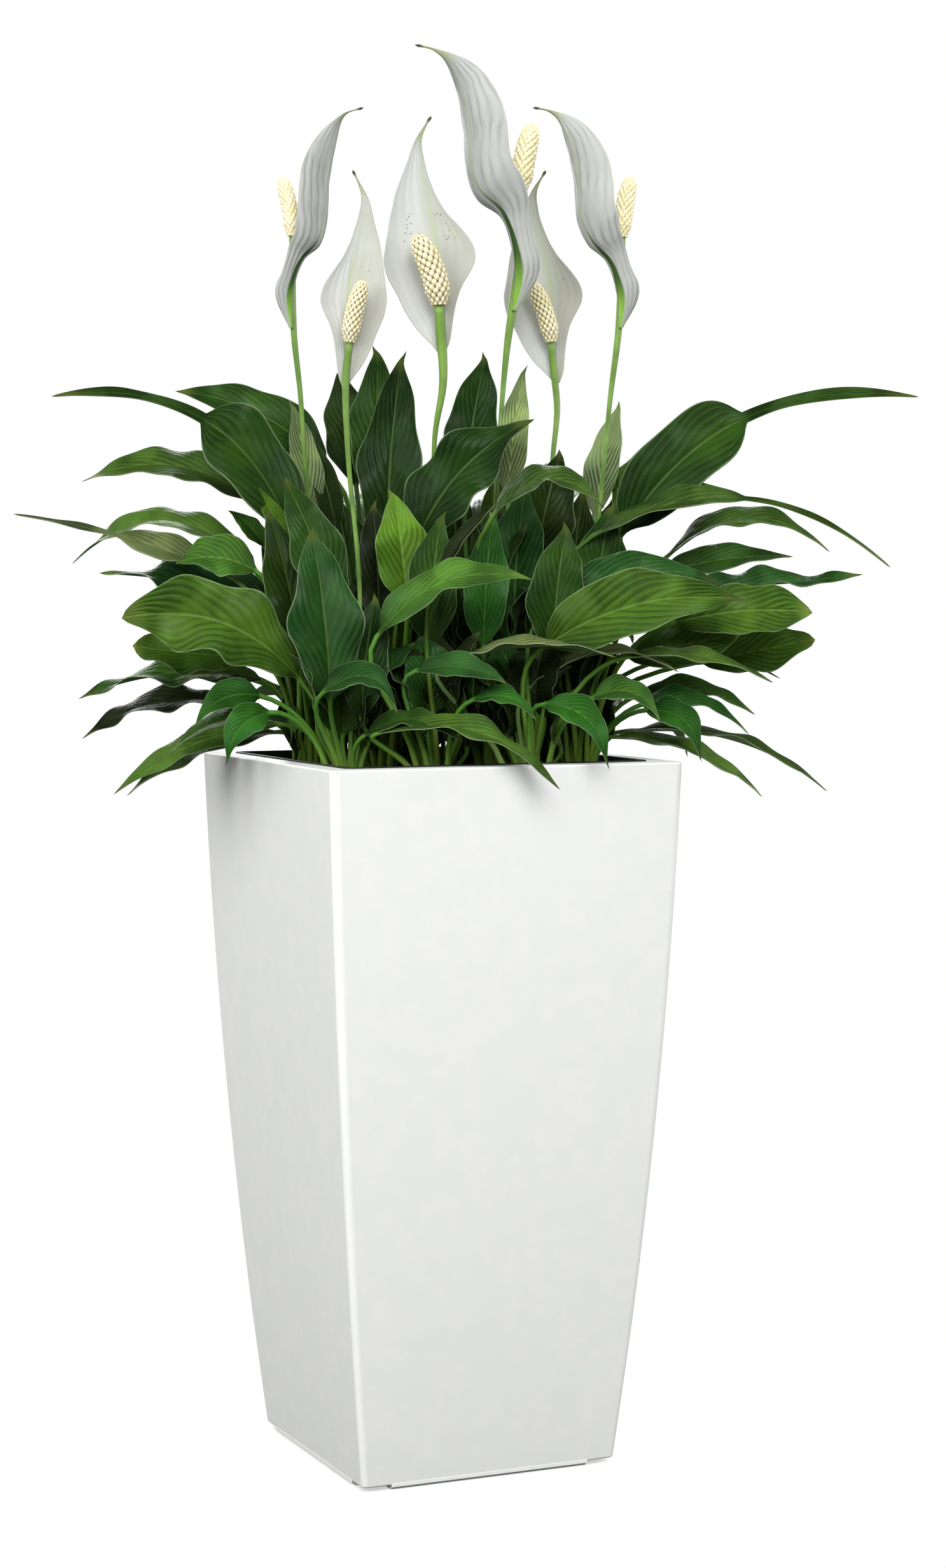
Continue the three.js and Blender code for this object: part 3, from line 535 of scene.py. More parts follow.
def make_liner():
    seat = PLANTER_HEIGHT - LIP_DEPTH + GAP
    bottom = seat - LINER_DEPTH
    flange = PLANTER_TOP / 2 - RIM_WIDTH - 2 * GAP
    profile = [
        (liner_half(bottom), bottom),
        (liner_half(seat), seat),
        (flange, seat),
        (flange, PLANTER_HEIGHT + COLLAR_RISE),
        (flange - LINER_WALL, PLANTER_HEIGHT + COLLAR_RISE),
        (flange - LINER_WALL, seat + LINER_WALL),
        (liner_half(seat) - LINER_WALL, seat + LINER_WALL),
        (liner_half(bottom) - LINER_WALL, bottom + LINER_WALL),
    ]
    bm = square_shell(profile, (3, 4), COLLAR_ROUNDING)
    even_normals(piece(bm, "liner_tub", ["liner"], BLACK_PLASTIC))


make_liner()

# %% [markdown]
# ## Soil
#
# Potting soil is dark, damp and crumbly. One grid, displaced with two sizes of noise, gives the
# uneven bed, and its outer edge is pulled down inside the liner and closed. A bed alone looks
# like felt, so several hundred crumbs of twenty faces each lie on it: a shape that is repeated so
# often has to be light.

# %% Surface and finish of the soil
SOIL_DROP = 20
SOIL_SWELL = 3.0
SOIL_SWELL_SIZES = (34, 6)
FINE_SWELL = 0.35
SOIL_GRAIN = 0.0015
SOIL_RELIEF = 0.0008


def soil_rise(x, y):
    """How far the bed stands above its level at a point."""
    broad = noise.noise(Vector((x, y, 3)) / SOIL_SWELL_SIZES[0])
    fine = noise.noise(Vector((x, y, 9)) / SOIL_SWELL_SIZES[1])
    return SOIL_SWELL * (broad + FINE_SWELL * fine)


def make_soil_finish():
    made, tree, shader, here = new_finish("potting_soil")
    earth = drifting(tree, here, "2a1f17", "46362a", size=0.006, amount=0.8)
    feed(tree, shader.inputs["Base Color"], earth)
    emboss(tree, shader, grain_of(tree, here, SOIL_GRAIN), SOIL_RELIEF)
    shader.inputs["Roughness"].default_value = 0.95
    return made


POTTING_SOIL = make_soil_finish()
print("finish:", POTTING_SOIL.name)

# %% Soil
SOIL_STEPS = 72
CRUMB_COUNT = 900
CRUMB_SIZES = (1.2, 4.2)
CRUMB_LIFT = 0.25
CRUMB_MARGIN = 5
CRUMB_BREADTHS, CRUMB_HEIGHTS = (0.6, 0.95), (0.5, 0.8)


def add_crumbs(bm, top, reach):
    """Crumbs of soil, each turned and flattened in its own way."""
    draw = random.Random(11)
    for _ in range(CRUMB_COUNT):
        x, y = (draw.uniform(-reach + CRUMB_MARGIN, reach - CRUMB_MARGIN) for _ in range(2))
        size = draw.uniform(*CRUMB_SIZES) * draw.random() ** 0.5
        spot = Matrix.Translation((x, y, top + soil_rise(x, y) + CRUMB_LIFT * size))
        turn = Matrix.Rotation(draw.uniform(0, 6.28), 4, Vector((draw.random(), draw.random(), 1)))
        flat = Matrix.Diagonal((1, draw.uniform(*CRUMB_BREADTHS), draw.uniform(*CRUMB_HEIGHTS), 1))
        bmesh.ops.create_icosphere(bm, subdivisions=1, radius=size, matrix=spot @ turn @ flat)


def make_soil():
    top = PLANTER_HEIGHT - SOIL_DROP
    bottom = PLANTER_HEIGHT - LIP_DEPTH + 2 * GAP - LINER_DEPTH + LINER_WALL
    reach, foot = (liner_half(z) - LINER_WALL - GAP for z in (top, bottom))
    bm = bmesh.new()
    bed = bmesh.ops.create_grid(bm, x_segments=SOIL_STEPS, y_segments=SOIL_STEPS, size=reach)["verts"]
    for vert in bed:
        vert.co.z = top + soil_rise(vert.co.x, vert.co.y)
    edge = [e for e in bm.edges if e.is_boundary]
    pulled = bmesh.ops.extrude_edge_only(bm, edges=edge)["geom"]
    for vert in only(BMVert, pulled):
        vert.co = (vert.co.x * foot / reach, vert.co.y * foot / reach, bottom)
    bmesh.ops.edgeloop_fill(bm, edges=only(BMEdge, pulled))
    add_crumbs(bm, top, reach)
    face_outwards(bm)
    piece(bm, "soil_bed", ["soil"], POTTING_SOIL)


make_soil()

# %% [markdown]
# ## The plant's own frame
#
# The clump's fullest side is turned a little from the planter's front. So every place on the
# plant is given in a frame of its own: the first number to the right of the fullest side, the
# second away from it, and the third up from the rim. One matrix takes that frame to the planter's.

# %% Frame of the plant, and curves
PLANT_TURN = -24
UP = Vector((0, 0, 1))
ON_RIM = Matrix.Translation((0, 0, PLANTER_HEIGHT))
PLANT_PLACE = TO_METRES @ ON_RIM @ Matrix.Rotation(math.radians(PLANT_TURN), 4, "Z")


def mix(first, second, share):
    return first + (second - first) * share


def ease(value, low, high):
    """Runs smoothly from 0 to 1 while the value goes from low to high."""
    share = min(1, max(0, (value - low) / (high - low)))
    return share * share * (3 - 2 * share)


def on_bezier(controls, along):
    """The point and the direction at a share of the way along a Bezier curve."""
    while len(controls) > 2:
        controls = [a.lerp(b, along) for a, b in zip(controls, controls[1:])]
    return controls[0].lerp(controls[1], along), (controls[1] - controls[0]).normalized()


def turned(side, ahead, degrees):
    """The sideways direction, square to the way ahead and rolled about it."""
    square = (side - ahead * side.dot(ahead)).normalized()
    return Matrix.Rotation(math.radians(degrees), 3, ahead) @ square


def circle_spot(centre, side, other, turn, radius):
    """A point on a ring about a centre, at an angle from one direction towards the other."""
    return centre + (side * math.cos(turn) + other * math.sin(turn)) * radius


hand = PLANT_PLACE @ Vector((100, 0, 0))
print("100 mm to the plant's right, in metres:", [round(c, 3) for c in hand])

# %% [markdown]
# ## The leaf's finish
#
# A peace lily's leaf is deep green, glossy above and duller and paler beneath. The midrib is a
# light line, and the veins are fine dark lines. The blade gets painted shade towards its neck and
# in the grooves between its raised pleats, a faint painted highlight on the pleats' crests, and a
# painted highlight along its margin. The stalk is yellow-green and brightest near the soil. Each
# leaf carries its own tint as a colour attribute. The tint's fourth number says how strong the
# margin's painted highlight is: less than 1 on leaves in the shade, and more than 1 on the pale
# leaves, whose pleat crests also get a painted silvery sheen. Three more numbers tell the finish
# where on the leaf a point is: across from midrib to margin, along from the neck to the tip (below
# 0 on the stalk), and which face it is.

# %% Tones and colour of a leaf
LEAF_TONES = {
    "black": "141f0a",
    "night": "132e0a",
    "dark": "1c320d",
    "deep": "214112",
    "blue": "1d441c",
    "mid": "37561f",
    "grey": "5a6e48",
    "olive": "385a1b",
    "bright": "386224",
    "fresh": "22541a",
    "gloss": "1c4319",
    "lime": "41671a",
    "pale": "5a7440",
}
WARMER = (1.6, 1.35, 1.0)
PLEATS = 9
PLEAT_SWEEP = 4.4
VEINS_PER_PLEAT = 4
print("leaf tones:", ", ".join(LEAF_TONES))


def leaf_sheet(tree, here, tinted, out, along, below, pleat, vein):
    """The sheet's colour: its depth, painted shade towards the neck and in the pleats' grooves, a faint
    painted highlight on their crests, its veins, a painted silvery sheen and its underside.
    """
    tint = tinted["Color"]
    warm = add(tree, "VectorMath", {0: tint, 1: WARMER}, operation="MULTIPLY").outputs[0]
    near_midrib = between(tree, out, 0.1, 0.75, 0.45, 0.0)
    lit = blend(tree, near_midrib, drifting(tree, here, tint, warm, size=0.045, amount=0.9), warm)
    deep = blend(tree, 0.6, lit, "050f06")
    # painted shade: the blade is darker towards its neck, inside the clump
    neck_shade = between(tree, along, 0.02, 0.5, 0.75, 0.0)
    shaded = drifting(tree, here, lit, deep, size=0.028, amount=0.55)
    face = blend(tree, neck_shade, shaded, deep)
    # a faint painted highlight on the pleats' crests and painted shade in the grooves between them; the
    # veins are drawn as fine lines in the same dark colour
    crest_highlight = blend(tree, 0.01, face, "a8cc70")
    groove_shade = blend(tree, 0.55, face, "06110a")
    pleat_groove = maths(tree, "POWER", inverse(tree, pleat), 2.2)
    pleated = blend(tree, times(tree, pleat_groove, 0.85), crest_highlight, groove_shade)
    veined = blend(tree, times(tree, vein, 0.5), pleated, groove_shade)
    # painted sheen: on pale leaves the pleats' crests turn silvery
    painted_sheen = maths(tree, "MAXIMUM", maths(tree, "SUBTRACT", tinted["Alpha"], 1.0), 0.0)
    sheen_on_crests = times(tree, painted_sheen, maths(tree, "POWER", pleat, 1.6))
    with_sheen = blend(tree, sheen_on_crests, veined, "c6d2b8")
    return blend(tree, times(tree, below, 0.8), with_sheen, blend(tree, 0.3, with_sheen, "7d966a"))


def leaf_colour(tree, here, out, along, below, pleat, vein, on_blade):
    """The sheet with its midrib, a painted highlight along its margin, its tip, and the stalk below the
    neck.
    """
    tinted = add(tree, "Attribute", attribute_name="leaf_tint_and_glint").outputs
    tint = tinted["Color"]
    sheet = leaf_sheet(tree, here, tinted, out, along, below, pleat, vein)
    on_midrib = times(tree, inverse(tree, between(tree, out, 0.0, 0.045)), 0.3)
    with_midrib = blend(tree, on_midrib, sheet, blend(tree, 0.3, tint, "a4c05c"))
    # painted highlight along the margin, weaker on leaves in the shade
    margin_glint = times(tree, between(tree, out, 0.95, 0.99, 0.0, 0.65), tinted["Alpha"])
    with_margin_glint = blend(tree, margin_glint, with_midrib, blend(tree, 0.45, tint, "b4c79a"))
    at_tip = between(tree, along, 0.86, 1.0, 0.0, 0.7)
    blade = blend(tree, at_tip, with_margin_glint, blend(tree, 0.6, tint, "93a052"))
    upper_stalk, lower_stalk = blend(tree, 0.35, tint, "5f8c32"), blend(tree, 0.45, tint, "8fb045")
    stalk = blend(tree, between(tree, along, -1.0, -0.3, 1.0, 0.0), upper_stalk, lower_stalk)
    return blend(tree, on_blade, stalk, blade)


# %% Leaf finish
LEAF_GRAIN = 0.0012
LEAF_RELIEF = 0.0016
LEAF_GLOSS = 0.08


def make_leaf_finish():
    made, tree, shader, here = new_finish("leaf_skin")
    across, along, below = skin_place(tree, "leaf_place")
    out = maths(tree, "ABSOLUTE", across)
    pleat, _ = ribs_of(tree, here, across, along, ribs=PLEATS, sweep=PLEAT_SWEEP, wander=0.5)
    _, vein = ribs_of(
        tree, here, across, along, ribs=PLEATS * VEINS_PER_PLEAT,
        sweep=PLEAT_SWEEP * VEINS_PER_PLEAT, wander=2.0)
    on_blade = between(tree, along, 0.0, 0.05)
    colour = leaf_colour(tree, here, out, along, below, pleat, vein, on_blade)
    feed(tree, shader.inputs["Base Color"], colour)

    grain = grain_of(tree, here, LEAF_GRAIN)
    ridges = maths(tree, "ADD", times(tree, pleat, 0.5), times(tree, vein, -0.3))
    off_midrib = between(tree, out, 0.02, 0.12)
    relief = times(tree, ridges, times(tree, on_blade, off_midrib))
    emboss(tree, shader, scaled(tree, grain, 0.1, relief), LEAF_RELIEF, strength=0.9)
    dullness = scaled(tree, below, 0.22, 0.2)
    feed(tree, shader.inputs["Roughness"], scaled(tree, grain, 0.12, dullness))
    shader.inputs["Specular IOR Level"].default_value = LEAF_GLOSS
    return made


LEAF_SKIN = make_leaf_finish()
print("finish:", LEAF_SKIN.name, "with", len(LEAF_SKIN.node_tree.nodes), "nodes")

# %% [markdown]
# ## The leaves, one by one
#
# No two leaves of a clump are alike, and the eye knows a copied leaf at once. Each leaf here has
# a row of its own, as a florist might note it down: the crown that it grows from, where its stalk
# meets the blade, where the tip is, the blade's width, how far the midrib arches up from a
# straight line, how the blade is rolled at its two ends, how high its margin waves, its outline
# and its tone.

# %% Crowns and outlines
CROWNS = {
    "frontLeft": (-66, -94),
    "front": (2, -96),
    "frontRight": (72, -76),
    "left": (-96, -20),
    "midLeft": (-42, -34),
    "midRight": (42, -22),
    "right": (108, -30),
    "backLeft": (-92, 44),
    "backMid": (-22, 44),
    "backRight": (88, 44),
    "farLeft": (-42, 92),
    "farRight": (30, 100),
}

# How fast a blade widens, how fast it narrows, and the share of it that is a drawn-out tail.
OUTLINES = {
    "plain": (0.9, 1.3, 0),
    "blunt": (0.8, 0.75, 0),
    "drawn": (0.75, 1.7, 0),
    "tailed": (0.9, 0.8, 0.5),
    "winged": (0.9, 0.62, 0.5),
}

print("crowns:", len(CROWNS))

# %% Leaves of the fan to the left
LEAVES = [
    ("left", (-112, -15, 172), (-303, -30, 286), 66, 46, (-70, -50), 2.5, "winged", "deep"),
    ("left", (-112, 20, 184), (-162, 30, 262), 46, 8, (-60, -50), 1, "plain", "olive"),
    ("backLeft", (-88, 48, 232), (-213, 48, 295), 46, 14, (-65, -50), 1.5, "plain", "deep"),
    ("backLeft", (-146, 40, 204), (-288, 40, 221), 42, 22, (-45, -30), 2, "plain", "mid"),
    ("left", (-146, 5, 150), (-292, 0, 154), 38, 37, (-35, -15), 2, "plain", "mid"),
    ("left", (-172, -45, 150), (-330, -50, 193), 34, 5, (-30, -50), 2, "tailed", "grey"),
    ("left", (-125, -22, 124), (-266, -30, 147), 46, 5, (-45, -30), 3.5, "plain", "blue"),
    ("left", (-150, -40, 82), (-238, -44, 90), 38, -2, (-65, -60), 2, "blunt", "olive"),
    ("backLeft", (-150, 14, 62), (-288, 5, 46), 40, 12, (-45, -10), 2.5, "plain", "deep"),
    ("backLeft", (-170, 44, 42), (-290, 50, 12), 34, 14, (-35, -30), 2, "plain", "black"),
    ("left", (-122, -40, 28), (-253, -55, -27), 26, 12, (-50, -45), 1.5, "plain", "mid"),
    ("left", (-126, 0, 20), (-248, -6, -31), 30, 12, (-36, -30), 1.5, "plain", "dark"),
    ("left", (-138, -18, 62), (-209, -22, 62), 24, 6, (-40, -20), 1, "plain", "mid"),
    ("left", (-140, -50, 148), (-203, -62, 154), 42, 8, (-50, -50), 1.5, "plain", "bright"),
    ("left", (-106, -46, 80), (-134, -36, 200), 44, 4, (-50, -50), 1.5, "plain", "dark"),
    ("backLeft", (-138, 30, 168), (-168, 36, 198), 20, 2, (-40, -40), 0.5, "plain", "bright"),
    ("backLeft", (-112, 44, 96), (-140, 54, 196), 48, 4, (-60, -50), 1.5, "plain", "blue"),
]
print("leaves so far:", len(LEAVES))

# %% Leaves low at the left of the front
LEAVES += [
    ("frontLeft", (-104, -84, 64), (-240, -104, 112), 62, 22, (-72, -70), 3, "blunt", "olive"),
    ("frontLeft", (-126, -112, 40), (-157, -132, 0), 27, 12, (-60, -40), 1, "drawn", "fresh"),
    ("frontLeft", (-134, -96, 52), (-184, -118, 28), 30, 11, (-50, -35), 1, "drawn", "fresh"),
    ("frontLeft", (-112, -76, 30), (-206, -92, 6), 26, 16, (-30, -20), 1, "plain", "deep"),
]
print("leaves so far:", len(LEAVES))

# %% Upright leaves at the middle
LEAVES += [
    ("midLeft", (-98, 14, 190), (-117, 28, 287), 26, 2, (-40, -40), 1, "plain", "pale"),
    ("midLeft", (-80, 14, 180), (-101, 28, 258), 22, 2, (-50, -50), 0.5, "plain", "dark"),
    ("left", (-96, -36, 124), (-148, -24, 222), 26, 4, (-60, -50), 1, "plain", "lime"),
    ("left", (-76, -56, 112), (-120, -40, 224), 42, 4, (-70, -60), 1.5, "plain", "deep"),
    ("midLeft", (-64, 2, 30), (-72, 18, 128), 46, 4, (-30, -30), 1.5, "plain", "dark"),
    ("backMid", (-66, 62, 218), (-82, 92, 318), 42, 3, (-20, -30), 1.5, "plain", "dark"),
    ("backMid", (-48, 42, 206), (-49, 74, 334), 46, 4, (0, -5), 1.5, "plain", "deep"),
    ("midLeft", (-40, 10, 160), (-28, 42, 327), 50, 6, (15, 20), 2, "plain", "night"),
    ("midRight", (24, 34, 214), (41, 64, 328), 42, 5, (25, 30), 1.5, "plain", "night"),
    ("midLeft", (-16, -36, 168), (78, -28, 268), 58, 14, (66, 56), 2.5, "plain", "night"),
    ("midLeft", (-22, -58, 122), (-34, -40, 213), 44, 3, (-30, -20), 1.5, "plain", "lime"),
    ("midLeft", (-44, -40, 104), (-50, -24, 206), 34, 3, (-20, -20), 1, "plain", "black"),
    ("backLeft", (-66, 34, 100), (-84, 50, 214), 50, 4, (-30, -40), 1.5, "plain", "night"),
    ("backMid", (-8, 34, 120), (-6, 52, 240), 52, 4, (10, 0), 1.5, "plain", "deep"),
    ("front", (-44, -108, 98), (77, -116, 141), 36, 22, (50, 40), 2, "plain", "bright"),
    ("frontLeft", (-80, -104, 46), (-97, -84, 184), 56, 6, (-30, -34), 2, "plain", "gloss"),
    ("front", (-56, -98, 34), (-44, -82, 132), 40, 4, (20, 25), 1.5, "plain", "night"),
    ("front", (-4, -70, 88), (6, -56, 196), 42, 4, (30, 25), 1.5, "plain", "deep"),
    ("midRight", (38, -66, 88), (46, -48, 197), 36, 4, (20, 24), 1, "plain", "fresh"),
    ("midRight", (24, -18, 36), (28, -6, 140), 46, 4, (15, 20), 1.5, "plain", "deep"),
    ("frontRight", (92, -68, 82), (104, -52, 188), 46, 4, (40, 35), 1.5, "plain", "deep"),
    ("midRight", (62, -20, 108), (72, 2, 222), 46, 4, (20, 20), 1.5, "plain", "blue"),
    ("midRight", (46, -60, 192), (133, -68, 196), 38, 26, (35, 20), 1.5, "plain", "mid"),
    ("front", (4, -78, 146), (50, -84, 202), 20, 4, (40, 30), 0.5, "plain", "black"),
    ("midRight", (80, 0, 150), (102, 22, 247), 50, 4, (40, 40), 2, "plain", "dark"),
]
print("leaves so far:", len(LEAVES))

# %% Leaves low along the front
LEAVES += [
    ("frontLeft", (-84, -134, 56), (-26, -146, 38), 30, 22, (40, 35), 1, "drawn", "gloss"),
    ("front", (-44, -124, 24), (95, -154, -17), 34, 24, (20, 20), 1.5, "plain", "mid"),
    ("front", (30, -120, 50), (79, -136, 34), 24, 10, (35, 30), 1, "drawn", "fresh"),
    ("frontRight", (84, -108, 46), (132, -134, -3), 30, 17, (40, 30), 1, "drawn", "fresh"),
    ("frontRight", (122, -88, 50), (175, -104, 31), 30, 15, (40, 30), 1, "drawn", "bright"),
    ("right", (166, -62, 40), (206, -82, 0), 28, 15, (45, 30), 1, "drawn", "fresh"),
    ("front", (-14, -120, 72), (57, -134, 62), 26, 8, (45, 40), 1, "plain", "blue"),
    ("frontRight", (8, -92, 76), (140, -114, 82), 40, 12, (8, 5), 1.5, "plain", "grey"),
    ("frontRight", (72, -66, 56), (190, -82, 70), 36, 22, (15, 10), 1.5, "plain", "grey"),
    ("frontLeft", (-54, -116, 22), (22, -130, 18), 24, 15, (35, 30), 1.5, "plain", "deep"),
]
print("leaves so far:", len(LEAVES))

# %% Leaves of the fan to the right
LEAVES += [
    ("right", (146, -6, 174), (383, -14, 286), 66, 44, (75, 50), 2.5, "winged", "deep"),
    ("backRight", (150, 30, 180), (205, 44, 266), 48, 5, (60, 50), 1.5, "plain", "olive"),
    ("right", (124, -26, 176), (358, -44, 151), 36, 42, (24, 45), 2, "tailed", "mid"),
    ("backRight", (186, 30, 160), (320, 34, 164), 32, 30, (20, 35), 2, "plain", "mid"),
    ("right", (178, -14, 146), (284, -16, 160), 32, 5, (45, 35), 1, "plain", "deep"),
    ("frontRight", (92, -62, 122), (222, -74, 139), 40, 16, (50, 45), 2, "plain", "blue"),
    ("right", (196, -40, 138), (336, -46, 146), 32, -3, (35, 30), 3.5, "plain", "blue"),
    ("frontRight", (82, -92, 88), (238, -112, 126), 56, 16, (72, 65), 2, "plain", "olive"),
    ("right", (186, -62, 108), (294, -68, 116), 44, 5, (68, 60), 1.5, "blunt", "olive"),
    ("right", (148, -48, 82), (240, -52, 100), 40, -1, (70, 60), 1.5, "blunt", "olive"),
    ("backRight", (210, -4, 76), (303, -6, 94), 40, 0, (65, 60), 1.5, "blunt", "olive"),
    ("frontRight", (150, -80, 82), (262, -92, 62), 20, 10, (30, 20), 1, "plain", "mid"),
    ("backRight", (172, 16, 74), (278, 20, 62), 24, 12, (20, 10), 1, "plain", "mid"),
    ("right", (162, -14, 50), (255, -18, 34), 28, 12, (40, 20), 1, "plain", "bright"),
    ("right", (164, -44, 44), (247, -54, 20), 26, 14, (40, 20), 1, "drawn", "fresh"),
    ("backRight", (158, 22, 20), (318, 24, -30), 28, 18, (15, 10), 1.5, "plain", "mid"),
    ("right", (140, -40, 18), (257, -66, -28), 28, 13, (20, 10), 1, "plain", "mid"),
    ("backRight", (128, 28, 192), (150, 40, 287), 28, 3, (50, 40), 1, "plain", "pale"),
    ("right", (126, -26, 96), (140, -10, 204), 46, 4, (45, 40), 1.5, "plain", "deep"),
    ("right", (98, -14, 36), (108, -2, 138), 46, 4, (30, 30), 1.5, "plain", "deep"),
    ("backRight", (92, 44, 120), (86, 62, 238), 50, 4, (-10, 0), 1.5, "plain", "dark"),
    ("backRight", (124, 46, 100), (146, 56, 210), 48, 4, (60, 50), 1.5, "plain", "deep"),
    ("midRight", (58, -6, 206), (71, 4, 313), 26, 3, (40, 50), 1, "plain", "pale"),
]
print("leaves so far:", len(LEAVES))

# %% Leaves in the shade, hardly seen
LEAVES += [
    ("midRight", (14, 30, 96), (20, 44, 224), 52, 4, (10, 10), 1.5, "plain", "dark"),
    ("midRight", (44, 26, 88), (52, 40, 206), 52, 4, (10, 10), 1.5, "plain", "black"),
    ("right", (108, 20, 92), (120, 34, 218), 52, 4, (30, 30), 1.5, "plain", "dark"),
    ("left", (-96, 22, 92), (-112, 36, 226), 50, 4, (-30, -30), 1.5, "plain", "dark"),
]
print("leaves noted one by one:", len(LEAVES))

# %% [markdown]
# ## The side that the photograph doesn't show
#
# The photograph shows one side of the clump. On the other side the leaves fan out in the same
# way, so they follow a rule: four tiers, each with a height for its necks and tips, how far out
# they reach, the bearing of its first leaf and the turn to the next, and the blades' width and
# arch. Inside the clump, every crown also bears a few upright leaves in its own shade, and low
# ones over the soil wherever the front row hides them. They are hardly seen as leaves, but
# without them light would shine through the clump and it would look thin.

# %% Leaves of the far side
BACK_TIERS = [
    (46, -18, (140, 252), 32, 28, 32, 22, ("backRight", "farRight", "farRight", "farLeft", "backLeft")),
    (104, 96, (128, 268), 24, 26, 44, 22,
     ("backRight", "farRight", "farRight", "farLeft", "farLeft", "backLeft")),
    (176, 214, (92, 214), 40, 27, 52, 16, ("farRight", "farRight", "farLeft", "farLeft", "backLeft")),
    (120, 226, (100, 118), 62, 40, 50, 5, ("farRight", "farLeft")),
]
BACK_TONES = ("deep", "mid", "blue", "olive", "bright")
BACK_LEAN = 10
BACK_WAVE = 2


def back_leaves():
    """One row for each leaf of the tiers."""
    rows = []
    for neck_height, tip_height, (near, far), start, step, width, bow, crowns in BACK_TIERS:
        for count, crown in enumerate(crowns):
            bearing = math.radians(start + step * count)
            way = Vector((math.cos(bearing), math.sin(bearing), 0))
            lean = -BACK_LEAN if count % 2 else BACK_LEAN
            neck = near * way + neck_height * UP
            tip = far * way + (tip_height + lean) * UP
            tone = BACK_TONES[len(rows) % len(BACK_TONES)]
            rows.append((crown, neck, tip, width, bow, (lean, -lean), BACK_WAVE, "plain", tone))
    return rows


OUTER_LEAVES = LEAVES + back_leaves()
print("leaves with those of the far side:", len(OUTER_LEAVES))

# %% Leaves of the inside
INNER_TONES = ("dark", "black", "dark", "black", "blue", "deep")
INNER_PER_CROWN = 13
LOW_PER_CROWN = 7
INNER_SPREAD, INNER_LEAN = (10, 28), (8, 34)
INNER_WIDTHS, INNER_ROLLS = (38, 56), (-25, 25)
INNER_BOW, INNER_WAVE = 8, 1.2
FRONT_ROW = -50
# The range of the necks' heights, and of the rise from neck to tip.
FRONT_TIER = ((10, 45), (40, 62))
LOW_TIER = ((-8, 8), (36, 60))


def inner_tiers(x, y):
    """The necks and rises of a crown's inner leaves, lower the further out it stands."""
    if y < FRONT_ROW:
        return [FRONT_TIER] * INNER_PER_CROWN
    reach = math.hypot(x, y)
    tall = ((14, 120 - 0.45 * reach), (66, 118 - 0.25 * reach))
    return [tall] * INNER_PER_CROWN + [LOW_TIER] * LOW_PER_CROWN


def inner_leaves():
    """Upright leaves in the shade between the others."""
    draw = random.Random(5)
    rows = []
    for crown, (x, y) in CROWNS.items():
        for count, (necks, rises) in enumerate(inner_tiers(x, y)):
            bearing = 2 * math.pi * (count + draw.random()) / INNER_PER_CROWN
            way = Vector((math.cos(bearing), math.sin(bearing), 0))
            if y < 0:
                way.y = abs(way.y)
            neck = Vector((x, y, 0)) + way * draw.uniform(*INNER_SPREAD) + UP * draw.uniform(*necks)
            tip = neck + way * draw.uniform(*INNER_LEAN) + UP * draw.uniform(*rises)
            tone = draw.choice(INNER_TONES)
            roll = draw.uniform(*INNER_ROLLS)
            width = draw.uniform(*INNER_WIDTHS)
            rows.append((crown, neck, tip, width, INNER_BOW, (roll, -roll), INNER_WAVE, "plain", tone))
    return rows


ALL_LEAVES = OUTER_LEAVES + inner_leaves()
print("leaves in all:", len(ALL_LEAVES))

# %% [markdown]
# ## How one leaf is made
#
# A leaf is one skin from soil to tip. The stalk is round, with a sheath that widens at its foot.
# At the neck it flattens into the blade, which is folded along the midrib, grooved above and
# keeled beneath, pleated between its ribs, and waved at its margins. So the skin is a row of
# rings: each has the same points, from the right margin over the top to the left one and back
# underneath, and only their places change along the leaf.

# %% Section and sizes of a leaf
HALF_SECTION = (1, 0.97, 0.87, 0.72, 0.55, 0.38, 0.22, 0.08)


def round_section(half_section):
    """Shares from the right margin over the top to the left, and back underneath."""
    over = (*half_section, 0, *(-share for share in reversed(half_section)))
    return [(share, 0) for share in over] + [(share, 1) for share in reversed(over)]


AROUND = round_section(HALF_SECTION)
STALK_RADIUS = 2.0
STALK_FLATNESS = 0.88
STALK_SPREAD = 16
SPREAD_SHARE = 0.3
STALK_RISE = 0.45
STALK_APPROACH = 0.3
SHEATH = 0.6
STALK_ROWS = 9
FOOT_DEPTH = 2
ROW_LENGTH = 3.8
LENGTHENING_BOW = 200
LEAST_ROWS = 20
NECK_SHARE = 0.08
TIP_RADIUS = 0.5
TAIL_SHARE, TAIL_OVERLAP, TAIL_START, TAIL_TAPER = 0.6, 0.2, 0.25, 0.7
BLADE_EDGE = 0.35
MIDRIB_WIDTH = 1.5
MIDRIB_DEPTHS = (1.1, 0.6)
KEEL = 1.1
GROOVE = 0.7
PLEAT_HEIGHT = 0.4
FULL_RELIEF_HALF = 18
FOLD_AT_NECK = 34
FOLD = 21
FOLD_SPEED = 4
SLENDER_SPEED = 3
DROOP = 0.42
SWELL_SIZE = 24
SWELL_HEIGHT = 1.5
HOOK, HOOK_START = 4, 0.9
# Strength of the margin's painted highlight on leaves in the shade, and on pale leaves, whose pleat crests
# also get a painted sheen.
SHADED_MARGIN_HIGHLIGHT = 0.2
SHEEN_MARGIN = 1.3
# Waves along a blade: how high, degrees from neck to tip, and the degrees from leaf to leaf.
TWIST, TWIST_TURNS, TWIST_SPAN = 7, (650, 50), (0.2, 0.9)
UNEVENNESS, UNEVEN_TURNS = 0.045, (1000, 90)
WAVE, RIGHT_TURNS, LEFT_TURNS = 1.3, (900, 70), (820, 40)
CRIMP, CRIMP_TURNS = 0.65, (1600, 130)
print("points round a leaf:", len(AROUND))


